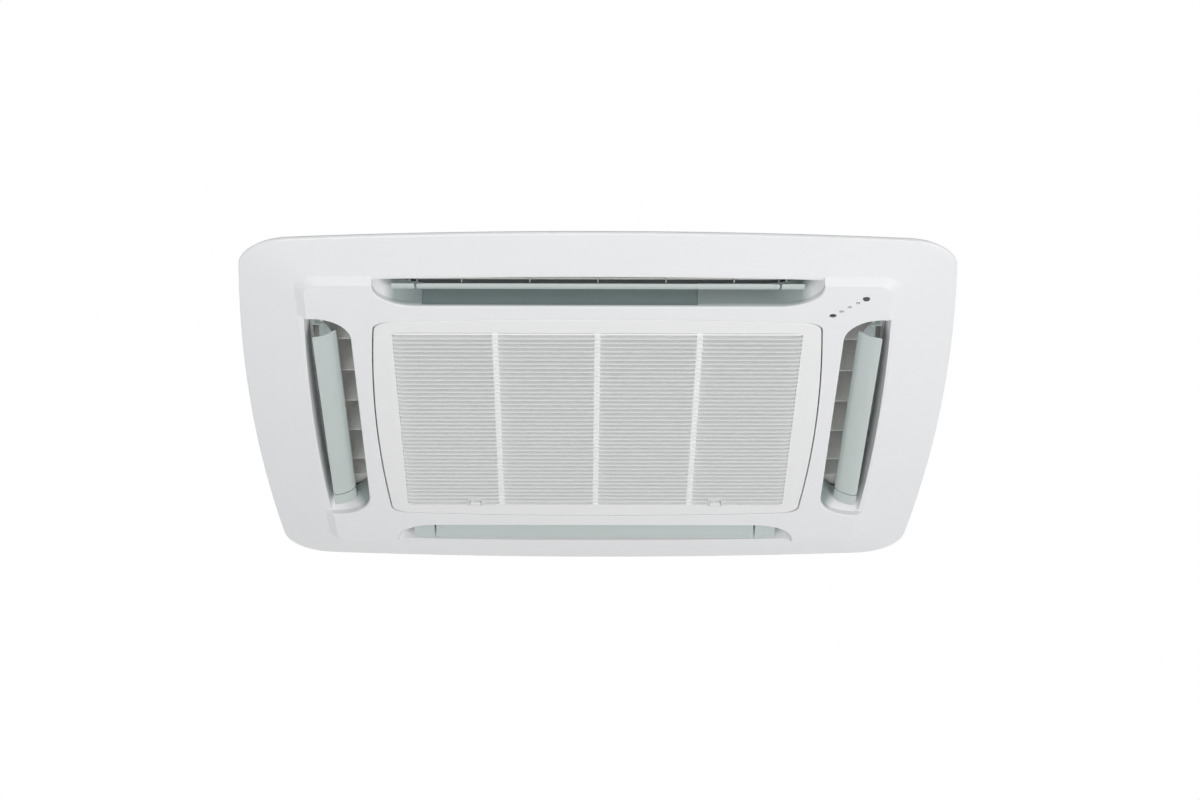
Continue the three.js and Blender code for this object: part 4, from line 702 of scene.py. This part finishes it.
# %% Cutting the outlets and the intake
EASE = 0.9  # radius of the recess's edge
WALL_SHADE_LEVEL = BORDER + 1.5
INNER_REACH = 389.0
cutters = []
for k in range(4):
    cutter = panel_solid(quarter_turned(outlet_grid(0.0, FACE - 10, COLLAR + 1, LIP), k))
    middle = np.array([face.center[:] for face in cutter.data.polygons]) / MM
    level = middle[:, 2]
    inner_wall = (np.abs(middle[:, :2]).max(1) < INNER_REACH) & (level > FACE + LIP * 0.6)
    # Faces with painted shade: above the straight part, and on the inner wall above the rounded
    # edge
    shade_faces = (level > WALL_SHADE_LEVEL) | inner_wall
    cutter.data.polygons.foreach_set("material_index", shade_faces.astype(np.int32))
    cutters.append(cutter)
flare = [(EASE, FACE - 10), *rounded_edge(EASE, 5), (0.0, LEDGE)]
cutters.append(lofted(recess_outline, flare))
cutters.append(upright(rounded(INTAKE_X, INTAKE_Y, 12), LEDGE - 1, COLLAR + 1))
combine(panel, cutters)
print("panel with outlets:", len(panel.data.polygons), "faces")

# %% [markdown]
# ## Small fittings of the panel
#
# Behind the outlets' walls the panel carries bearing tabs for the louvres and ears for the
# grille's hinge. Both are short prisms, so one function stands a flat outline across the X axis
# and the panel is joined to them.

# %% Bearing tabs and hinge ears
LOUVRE_AXIS, AXIS_LEVEL = 379.0, -1.0
BEARING_X = 252.0
AXIS = (-LOUVRE_AXIS, AXIS_LEVEL)  # of the near louvre, in Y and Z
HINGE_Y, HINGE_LEVEL, HINGE_SPREAD = -289.0, -23.2, 200.0
HINGE = (HINGE_Y, HINGE_LEVEL)
KNUCKLE, HINGE_PIN = 2.4, 1.25


def across(outline, x0, x1, y=0.0, z=0.0):
    """A prism along X: the outline's two axes become Y and Z. Rows run from x0 to x1."""
    outline = np.asarray(outline, float)
    flat = np.stack([np.zeros(len(outline)), outline[:, 0] + y, outline[:, 1] + z], -1)
    return np.stack([flat + [x0, 0, 0], flat + [x1, 0, 0]])


def disc(radius, sides):
    angle = np.linspace(0, 2 * math.pi, sides, endpoint=False)
    return np.stack([radius * np.cos(angle), radius * np.sin(angle)], -1)


def ear_outline(radius, height, up=1):
    """Half a circle at the axis and a straight neck above or below it."""
    angle = np.linspace(math.pi, 2 * math.pi, 15)
    outline = np.concatenate([np.stack([radius * np.cos(angle), radius * np.sin(angle)], -1),
                              [[radius, height], [-radius, height]]])
    return outline if up > 0 else (outline * [1, -1])[::-1]


tab = across(rounded(8.0, 8.2, 2.0, -LOUVRE_AXIS - 4.0, 1.2), -1.5, 1.5)
tabs = [panel_solid(quarter_turned(tab + [side * BEARING_X, 0, 0], k), 1)
        for side in (-1, 1) for k in range(4)]
ear = ear_outline(KNUCKLE, LEDGE + 1 - HINGE_LEVEL)
ears = [across(ear, x - 3, x + 3, *HINGE) for x in (-HINGE_SPREAD, HINGE_SPREAD)]
combine(panel, tabs + ears, "UNION")
print("tabs and ears:", len(tabs), len(ears))

# %% [markdown]
# The last cuts are small: five round holes for the receiver at one corner, bores for the hinge
# pins, the louvres' pins and their motors, and a shallow hollow along each outlet's inner wall.
# The hollow's faces carry a darker finish, because the photograph shows it in shade.

# %% Receiver holes, bores and hollows
RECEIVER = (339.2, -339.0)
RECEIVER_PITCH, RECEIVER_TURN = 15.6, math.radians(-48)
PIN_BORE, MOTOR_BORE, HOLLOW_DEPTH = 2.9, 4.9, 1.6
steps = np.arange(-2, 3) * RECEIVER_PITCH
dots = np.stack([RECEIVER[0] + steps * math.cos(RECEIVER_TURN),
                 RECEIVER[1] + steps * math.sin(RECEIVER_TURN)], -1)
dot_radius = np.array([4.5, 2.8, 2.8, 2.8, 4.5])
holes = []
for (x, y), radius in zip(dots, dot_radius):
    rim = [(radius + 0.9, FACE - 6), (radius + 0.9, FACE), (radius + 0.5, FACE + 0.15),
           (radius + 0.3, FACE + 0.5), (radius + 0.3, FACE + 8)]
    holes.append(turned(rim, 32, x, y))
pin_bore = disc(HINGE_PIN + 0.3, 20)
holes += [across(pin_bore, x - 20, x + 20, *HINGE) for x in (-HINGE_SPREAD, HINGE_SPREAD)]
bore = across(disc(PIN_BORE, 24), -BEARING_X - 4, BEARING_X + 4, *AXIS)
motor_hole = across(disc(MOTOR_BORE, 24), 280, 307, *AXIS)
guide = box_grid(-237, 135, -INNER - 1, -INNER + HOLLOW_DEPTH, FACE + 4, COLLAR + 1)
for k in range(4):
    holes += [quarter_turned(grid, k) for grid in (bore, motor_hole)]
    holes.append(panel_solid(quarter_turned(guide, k), 2))
combine(panel, holes)
finish_piece(panel, "casing", "panel_plastic", "panel_frame")
print("panel finished:", len(panel.data.polygons), "faces")

# %% [markdown]
# ## The intake grille
#
# The grille is a plain frame round a field of fine slats, 12 mm apart. Each slat is a thin blade
# on edge with a rounded lower edge, and three broad ribs cross behind them. Near the frame the
# field slopes back. All slats share one cross section, so the whole set is one array, which is
# then trimmed to the sloping field.

# %% Frame of the grille
FIELD_X, FIELD_Y = 281.0, 265.5
SLAT_LEVEL, SLAT_TOP = -30.5, -20.0
FRAME_EDGE, WELL_EDGE = 2.0, 1.2  # radii of the frame's outer and inner edge


edge_rows = [(-narrower, level) for narrower, level in rounded_edge(FRAME_EDGE, 7)]
edge = lofted(grille_outline, edge_rows + [(0.0, FACE + 8)])
grille = solid("grille_frame", edge, grille_plastic)
combine(grille, [upright(grille_outline(-2.0), FACE + 2, FACE + 9)])
combine(grille, [upright(rounded(FIELD_X + 2, FIELD_Y + 2, 8), FACE + 0.5, SLAT_TOP + 5)], "UNION")
well_rows = [(WELL_EDGE, FACE - 5), *rounded_edge(WELL_EDGE, 7), (0.0, 0.0)]
combine(grille, [lofted(lambda grow: rounded(FIELD_X + grow, FIELD_Y + grow, 6 + grow), well_rows)])
print("grille frame:", len(grille.data.polygons), "faces")

# %% [markdown]
# Equal bars side by side are one array: the section is worked out once, and adding the bars'
# places gives every bar's points at the same time. A slat has to catch the light along its lower
# edge, so its section ends in half an ellipse rather than in a flat.

# %% Slats and ribs
SLAT_PITCH, SLAT_HALF = 12.0, 1.15
NOSE = 2.4  # height of the rounded lower edge
RIB_HALF, RIB_LEVEL = 4.4, SLAT_LEVEL + 1.6
REACH = 0.6  # how far bars run into the frame
FIELD_SLOPE = 4.5


def bars_grid(section, ends, places, along):
    """Equal bars along axis 0 or 1, set apart along the other one: (bar, end, corner, axis)."""
    grid = np.empty((len(places), 2, len(section), 3))
    grid[..., along] = np.array(ends)[None, :, None]
    grid[..., 1 - along] = np.array(places)[:, None, None] + section[:, 0]
    grid[..., 2] = section[:, 1]
    return grid


def bars_faces(count, corners):
    return [face for i in range(count) for face in skin_faces(2, corners, start=i * 2 * corners)]


slat_count = int(2 * FIELD_Y // SLAT_PITCH) + 1
slat_places = (np.arange(slat_count) - (slat_count - 1) / 2) * SLAT_PITCH
half_turn = np.linspace(math.pi, 2 * math.pi, 11)
slat_section = np.stack([
    np.append(SLAT_HALF * np.cos(half_turn), [SLAT_HALF * 0.8, -SLAT_HALF * 0.8]),
    np.append(SLAT_LEVEL + NOSE + NOSE * np.sin(half_turn), [SLAT_TOP, SLAT_TOP])], -1)
slats = bars_grid(slat_section, (-FIELD_X - REACH, FIELD_X + REACH), slat_places, 0)
field = new_piece("slats", slats, bars_faces(slat_count, len(slat_section)), grille_plastic)
rib_section = filleted([(-RIB_HALF, SLAT_TOP), (-RIB_HALF, RIB_LEVEL), (RIB_HALF, RIB_LEVEL),
                        (RIB_HALF, SLAT_TOP)], (1.6, 1.6), 5)
ribs = bars_grid(rib_section, (FIELD_Y + REACH, -FIELD_Y - REACH),
                 np.array([-1, 0, 1]) * FIELD_X / 2, 1)
ribs = new_piece("ribs", ribs, bars_faces(3, len(rib_section)), grille_plastic)
combine(field, [ribs], "UNION")
field_rows = [(-FIELD_SLOPE, SLAT_LEVEL - 0.1), (0.0, FACE), (0.0, SLAT_TOP + 1)]
slope = lofted(lambda grow: rounded(FIELD_X + 0.5 + grow, FIELD_Y + 0.5 + grow, 6), field_rows)
combine(field, [slope], "INTERSECT")
combine(grille, [field], "UNION")
print("slats:", slat_count)

# %% [markdown]
# The grille hangs on two knuckle pairs at its near edge and is held by two sliding latches at its
# far edge. Each latch sits in a well between the last slats: a slot for the finger tab, one for
# the plate behind it, and one in the rim for the tongue.

# %% Hinge knuckles and latch slots
LATCH_X, LATCH_HALF = 180.0, 8.0
TAB_NEAR, TAB_FAR = 255.5, 269.5
PLATE_LEVEL = FACE + 2.3
SLOT_HALF = LATCH_HALF + 0.4
latch_edge = GRILLE_Y - LATCH_X ** 2 / (2 * GRILLE_BOW)
knuckle = ear_outline(KNUCKLE, HINGE_LEVEL - FACE - 1, -1)
joined, removed = [], []
for side in (-1, 1):
    x, h = side * LATCH_X, side * HINGE_SPREAD
    joined += [across(knuckle, middle - 2, middle + 2, *HINGE) for middle in (h - 5.4, h + 5.4)]
    joined.append(upright(rounded(SLOT_HALF + 2, 14.5, 2, x, 255.0), SLAT_LEVEL + 0.2, SLAT_TOP))
    removed.append(upright(rounded(SLOT_HALF, 12.0, 1.5, x, 258.5), SLAT_LEVEL - 1, PLATE_LEVEL))
    removed += [box_grid(x - SLOT_HALF, x + SLOT_HALF, y0, y1, PLATE_LEVEL - 0.3, PLATE_LEVEL + 2.3)
                for y0, y1 in ((246.5, FIELD_Y + 6), (latch_edge - 3, latch_edge + 2))]
    removed.append(box_grid(h - 3.4, h + 3.4, -GRILLE_Y - 3, HINGE_Y - KNUCKLE, FACE + 2.5, 0))
    removed.append(across(pin_bore, h - 20, h + 20, *HINGE))
combine(grille, joined, "UNION")
combine(grille, removed)
finish_piece(grille, "grille", "grille_plastic", "intake_grille")
print("grille finished:", len(grille.data.polygons), "faces")

# %% [markdown]
# A latch's tab has softened edges and three grooves for a finger. Behind it a flat plate slides
# in the frame and ends in the narrower tongue that holds the grille shut. The hinge pins are
# plain round bars with a small bevel.

# %% Latches and hinge pins
TAB_ROWS = [(-1.6, SLAT_LEVEL - 0.6), (-0.7, SLAT_LEVEL - 0.45), (-0.2, SLAT_LEVEL),
            (0, SLAT_LEVEL + 0.7), (0, PLATE_LEVEL + 0.5)]
tab_middle = (TAB_NEAR + TAB_FAR) / 2
tongue_end = latch_edge - 0.3


def bar_along_x(radius, x0, x1, y, z, bevel=0.4):
    """A round bar: four circles along X, the outer two narrower by the bevel."""
    rows = np.array([(x0, radius - bevel), (x0 + bevel, radius), (x1 - bevel, radius),
                     (x1, radius - bevel)])
    angle = np.linspace(0, 2 * math.pi, 24, endpoint=False)
    return np.stack([np.broadcast_to(rows[:, :1], (4, 24)), y + rows[:, 1:] * np.cos(angle),
                     z + rows[:, 1:] * np.sin(angle)], -1)


SIDES = ((-1, "left"), (1, "right"))
for side, word in SIDES:
    x = side * LATCH_X
    tab = lofted(lambda grow: rounded(8 + grow, 7 + grow, 2 + grow, x, tab_middle), TAB_ROWS)
    latch = solid("latch", tab, panel_plastic)
    plates = [box_grid(x - half, x + half, y0, y1, PLATE_LEVEL, PLATE_LEVEL + 2) for half, y0, y1 in
              ((LATCH_HALF, TAB_NEAR, tongue_end - 12), (6, tongue_end - 13, tongue_end))]
    combine(latch, plates, "UNION")
    combine(latch, [upright(rounded(6.2, 0.5, 0.4, x, y), SLAT_LEVEL - 1.2, SLAT_LEVEL - 0.1)
                    for y in (259.0, 261.2, 263.4)])
    finish_piece(latch, word + "_latch", "grille_plastic", "latch_" + word)
for side, word in SIDES:
    h = side * HINGE_SPREAD
    pin = solid("hinge_pin", bar_along_x(HINGE_PIN, h - 9.4, h + 9.4, *HINGE, 0.25), zinc_steel)
    finish_piece(pin, "casing", "steel", "hinge_pin_" + word)
print("latches:", 2, "hinge pins:", 2)

# %% [markdown]
# ## The louvres
#
# A louvre is a thin curved blade that closes its outlet like an eyelid and turns on two pins. Its
# section is an arc with a rounded edge on both sides. Towards each end the section shrinks along
# an ellipse, which rounds the blade's ends off.

# %% Section and length of a blade
BLADE_HALF, CHORD, SAG, THICK = 243.0, 35.4, 3.2, 2.2
BLADE_REST = math.radians(22)
BLADE_DROP, BLADE_OUT = 15.0, 2.2  # how far the blade hangs below its axis and sits outside it
ROUND_END, GROOVE_DEPTH = 4.0, 0.35
# Distances from a blade's end where its section changes: the round end, then a fine groove
END_STEPS = np.array([0, 0.15, 0.6, 1.4, 2.6, 4.0, 5.0, 5.2, 6.6, 6.8, 9.0, 60.0, 180.0])


def blade_skin(place, size):
    """One section per place along X. Point v of a section is (u, z): u = reach(v) * (half chord -
    5 (1 - size)) and z = -sag (1 - (2u / chord)^2) + height(v) * half thickness * sqrt(size)."""
    v = np.linspace(0, 2 * math.pi, 60, endpoint=False)
    reach = np.sign(np.cos(v)) * np.abs(np.cos(v)) ** 0.35  # a flat oval
    height = np.sign(np.sin(v)) * np.abs(np.sin(v)) ** 0.8
    u = reach[None, :] * (CHORD / 2 - 5 * (1 - size[:, None]))
    z = -SAG * (1 - (2 * u / CHORD) ** 2) + height[None, :] * THICK / 2 * np.sqrt(size)[:, None]
    return np.stack([np.broadcast_to(place[:, None], u.shape), u - BLADE_OUT, z - BLADE_DROP], -1)


def tilted(grid):
    """The same points turned about the louvre's own axis and moved out to it."""
    cosine, sine = math.cos(BLADE_REST), math.sin(BLADE_REST)
    x, y, z = grid[..., 0], grid[..., 1], grid[..., 2]
    return np.stack([x, y * cosine - z * sine - LOUVRE_AXIS,
                     y * sine + z * cosine + AXIS_LEVEL], -1)


place = np.sort(np.concatenate([BLADE_HALF - END_STEPS, END_STEPS - BLADE_HALF]))
away = np.clip((np.abs(place) - (BLADE_HALF - ROUND_END)) / ROUND_END, 0, 1)
size = np.sqrt(np.clip(1 - away ** 2, 0.02, 1))
groove = np.interp(BLADE_HALF - np.abs(place), [0, 5.0, 5.2, 6.6, 6.8], [0, 0, 1.0, 1.0, 0])
blade = tilted(blade_skin(place, size - GROOVE_DEPTH * groove))
print("blade:", len(place), "sections of", blade.shape[1], "points")

# %% [markdown]
# The four louvres are the same blade, turned about the unit's middle. At each end an arm reaches
# up to the pin. One pin ends in a bearing tab and the longer one in the motor's hub.

# %% Four louvres
PIN, DRIVEN_END = 2.5, 289.0
ARM_TOP, ARM_FOOT = 4.6, -BLADE_DROP - 2.2
arm = filleted([(0.0, ARM_TOP), (-3.4, ARM_TOP), (-9.0, ARM_FOOT), (9.0, ARM_FOOT), (3.4, ARM_TOP),
                (0.0, ARM_TOP)], (2.2, 0.8, 0.8, 2.2), 6)[:-1]
last = BLADE_HALF - 1
fittings = [tilted(across(arm, x - 1, x + 1)) for x in (-last, last)]
fittings += [bar_along_x(PIN, x0, x1, *AXIS)
             for x0, x1 in ((-BEARING_X - 6, -last), (last, DRIVEN_END))]
for k, side in enumerate(("near", "right", "far", "left")):
    louvre = solid("louvre_blade", quarter_turned(blade, k), louvre_plastic)
    combine(louvre, [quarter_turned(grid, k) for grid in fittings], "UNION")
    finish_piece(louvre, side + "_louvre", "louvre_plastic", "louvre_" + side, crisp=40)
print("louvres: 4,", round(2 * BLADE_HALF), "mm long")

# %% [markdown]
# Past each louvre a fixed end piece carries the blade's line on into the outlet's tip, except at
# the near end of the side outlets. It uses the blade's own section, so the two line up at rest.

# %% Fixed end pieces
END_PLACE = np.array([245.6, 246.4, 275.0, 276.0])
END_SIZE = np.array([0.8, 0.96, 0.96, 0.8])
WEB_HALF, WEB_LOW, WEB_HIGH = 1.2, -17.0, -3.2
end_pieces = []
for k, signs in enumerate([(-1, 1), (1,), (-1, 1), (-1,)]):
    for sign in signs:
        x = sign * BEARING_X
        skin = tilted(blade_skin(np.sort(sign * END_PLACE), END_SIZE))
        web = box_grid(x - WEB_HALF, x + WEB_HALF, -LOUVRE_AXIS - 8, -LOUVRE_AXIS + 6,
                       WEB_LOW, WEB_HIGH)
        end_pieces += [quarter_turned(skin, k), quarter_turned(web, k)]
ends = combine(solid("end", end_pieces[0], louvre_plastic), end_pieces[1:], "UNION")
finish_piece(ends, "casing", "louvre_plastic", crisp=40)
print("end pieces:", len(end_pieces) // 2)

# %% [markdown]
# ## The receiver
#
# At one corner five round parts sit in a row: a smoked window over the remote control's sensor,
# three small lamps that are one light guide with three pips, and an emergency button. Each is a
# profile turned about its own upright axis. A flange behind the panel's skin keeps it in place.

# %% Window, lamps and button
FLANGE = FACE + SKIN + 0.3
BOARD = FACE + 11.0


def cap(name, front, stem, gap, place, material):
    """A round part: its front, the flange, and a stem that stops short of the board."""
    back = [(4.5, FLANGE), (6.5, FLANGE), (6.5, FLANGE + 1.2), (stem, FLANGE + 1.2),
            (stem, BOARD - gap)]
    return solid(name, turned(front + back, 32, *place), material)


window = cap("window", [(0.01, FACE - 0.8), (1.6, FACE - 0.78), (3.0, FACE - 0.6),
                        (4.0, FACE - 0.2), (4.5, FACE + 0.4)], 3.0, 0.3, dots[0], lens_dark)
finish_piece(window, "casing", "dark_lens", "receiver_window")
button = cap("button", [(0.01, FACE - 1.2), (2.2, FACE - 1.25), (3.5, FACE - 1.6),
                        (4.2, FACE - 1.3), (4.5, FACE - 0.8)], 2.0, 1.8, dots[4], dark_grey)
finish_piece(button, "button", "panel_plastic", "power_button")
pip = [(0.01, FACE - 0.2), (1.2, FACE - 0.15), (1.7, FACE + 0.1), (1.9, FACE + 0.5),
       (1.9, FLANGE + 1.5)]
guide_bar = rounded(RECEIVER_PITCH + 5, 4, 1.5)
turn = np.array([[math.cos(RECEIVER_TURN), math.sin(RECEIVER_TURN)],
                 [-math.sin(RECEIVER_TURN), math.cos(RECEIVER_TURN)]])
lamps = solid("light_guide", upright(guide_bar @ turn + RECEIVER, FLANGE, FLANGE + 2), lens_clear)
feet = [turned(pip, 24, x, y) for x, y in dots[1:4]]
feet += [turned([(2.4, FLANGE + 1), (2.4, BOARD - 0.3)], 16, x, y) for x, y in dots[1:4]]
combine(lamps, feet, "UNION")
finish_piece(lamps, "casing", "clear_lens", "led_light_guide")
print("receiver: 5 dots,", RECEIVER_PITCH, "mm apart")

# %% [markdown]
# ## Guide vanes
#
# Deep in each outlet thin upright vanes straighten the air. From the room they are what shows
# between a louvre and the edge of its outlet. Each is a thin plate with a rounded lower edge, so
# the bars' function makes five of them, and its points are turned to the other three outlets.

# %% Guide vanes in the outlets
VANE_PITCH, VANE_COUNT = 92.0, 5
VANE_LOW, VANE_HIGH = 8.0, 66.0
VANE_ENDS = (-342.0, -393.4)
place = (np.arange(VANE_COUNT) - (VANE_COUNT - 1) / 2) * VANE_PITCH
vane_section = np.array([(-0.8, VANE_LOW + 1), (0, VANE_LOW), (0.8, VANE_LOW + 1),
                         (1.0, VANE_HIGH), (-1.0, VANE_HIGH)])
one = bars_grid(vane_section, VANE_ENDS, place, 1)
vanes = np.stack([quarter_turned(one, k) for k in range(4)])
guide_vanes = new_piece("guide_vanes", vanes, bars_faces(4 * VANE_COUNT, 5), white_foam)
finish_piece(guide_vanes, "casing", "duct_plastic")
print("guide vanes:", 4 * VANE_COUNT)

# %% [markdown]
# ## Finishes for the parts that keep their construction shape
#
# Folded sheet metal, foam blocks and boards are already right as flat faces, so they only need a
# finish. One table says which.

# %% Finishes of the remaining parts
def named(start):
    return [name for name in nodes if name.startswith(start)]


FINISHES = {
    zinc_sheet: ["side_wrap", "top_plate", "control_box", "control_box_lid", "coil_end_plate_a",
                 "coil_end_plate_b", *named("hanger_bracket")],
    zinc_steel: ["motor_shaft", "fan_nut", *named("panel_screw")],
    white_foam: ["body_insulation", "drain_pan", "float"],
    grey_foam: ["panel_seal"],
    light_grey: ["bell_mouth", "turbo_fan", "fan_motor", "terminal_block", "drain_pump",
                 "drain_hose", "drain_socket", "float_switch", *named("louvre_motor")],
    black_rubber: ["cable_grommet", "drain_plug", *named("motor_damper")],
    filter_grey: ["filter_frame"],
    filter_net: ["filter_mesh"],
    board_green: ["receiver_board", "control_board"],
    coil_metal: ["coil_fins"],
    copper: ["gas_pipe", "liquid_pipe"],
    brass: ["gas_flare_nut", "liquid_flare_nut"],
}
for material, names in FINISHES.items():
    for name in names:
        nodes[name].data.materials.clear()
        nodes[name].data.materials.append(material)
print("finished as they are:", sum(len(names) for names in FINISHES.values()))

# %% [markdown]
# ## Ceiling and floor
#
# The unit needs a ceiling to hang from, but the ceiling isn't part of it: a sheet with a square
# opening, seen only from below. To the camera, to mirrors and to clear parts it is plain white, to
# the lamps it is matt. The floor is a plain pale sheet far below.

# %% Ceiling and floor
HOLE, SHEET, FLOOR_SHEET = 440.0, 3000.0, 6000.0  # half widths
CEILING_LEVEL, FLOOR_LEVEL = 0.6, -2700.0
ring = np.array([[1, -1], [1, 1], [-1, 1], [-1, -1]], float)
finish = Finish("ceiling_white", 0.9, color=(0.8, 0.8, 0.8))
white = finish.add("Emission", None, {"Color": (1, 1, 1, 1), "Strength": 1.0})
matt = Wire(finish, finish.shader.outputs[0])
shown = finish.add("MixShader", None, {0: finish.seen(), 1: matt, 2: white})
above = finish.add("NewGeometry", output="Backfacing")
clear = finish.add("BsdfTransparent")
shown = finish.add("MixShader", None, {0: above, 1: shown, 2: clear})
finish.plug(finish.tree.nodes["Material Output"].inputs["Surface"], shown)
ceiling = new_piece("ceiling", stack([ring * HOLE, ring * SHEET], [CEILING_LEVEL] * 2),
                    skin_faces(2, 4, ends=False), finish.material)
floor = new_piece("floor", stack([ring * FLOOR_SHEET], [FLOOR_LEVEL]), [[0, 1, 2, 3]],
                  Finish("floor_pale", 0.9, color=(0.86, 0.86, 0.85)).material)
print("stage:", 2 * SHEET / 1000, "m of ceiling and", 2 * FLOOR_SHEET / 1000, "m of floor")

# %% [markdown]
# ## Light
#
# An even pale sky fills the shadows. Large soft lamps stand low, in front and to the right, as
# windows would, so that the walls of the outlets fall into soft shade. A third one above the
# ceiling lights the parts that hang there.

# %% Sky and lamps
WORLD_LEVEL = 0.55
world = bpy.data.worlds.new("daylight")
bpy.context.scene.world = world
world.use_nodes = True
sky = Graph(world.node_tree)
background = sky.tree.nodes["Background"]
sky.plug(background.inputs["Color"], (1.0, 1.0, 1.0, 1))
sky.plug(background.inputs["Strength"], sky.seen() * (1 - WORLD_LEVEL) + WORLD_LEVEL)


def soft_lamp(name, place, size, watts):
    data = bpy.data.lights.new(name, "AREA")
    data.shape = "DISK"
    data.size = size
    data.energy = watts
    lamp = bpy.data.objects.new(name, data)
    lamp.location = place
    lamp.rotation_euler = (-Vector(place)).to_track_quat("-Z", "Y").to_euler()
    bpy.context.scene.collection.objects.link(lamp)


soft_lamp("front lamp", (-0.6, -1.9, -2.6), 2.2, 52)
soft_lamp("right lamp", (1.9, -0.6, -2.4), 2.0, 36)
soft_lamp("upper lamp", (-1.5, -1.5, 2.5), 1.5, 60)
print("lamps:", len(bpy.data.lights))
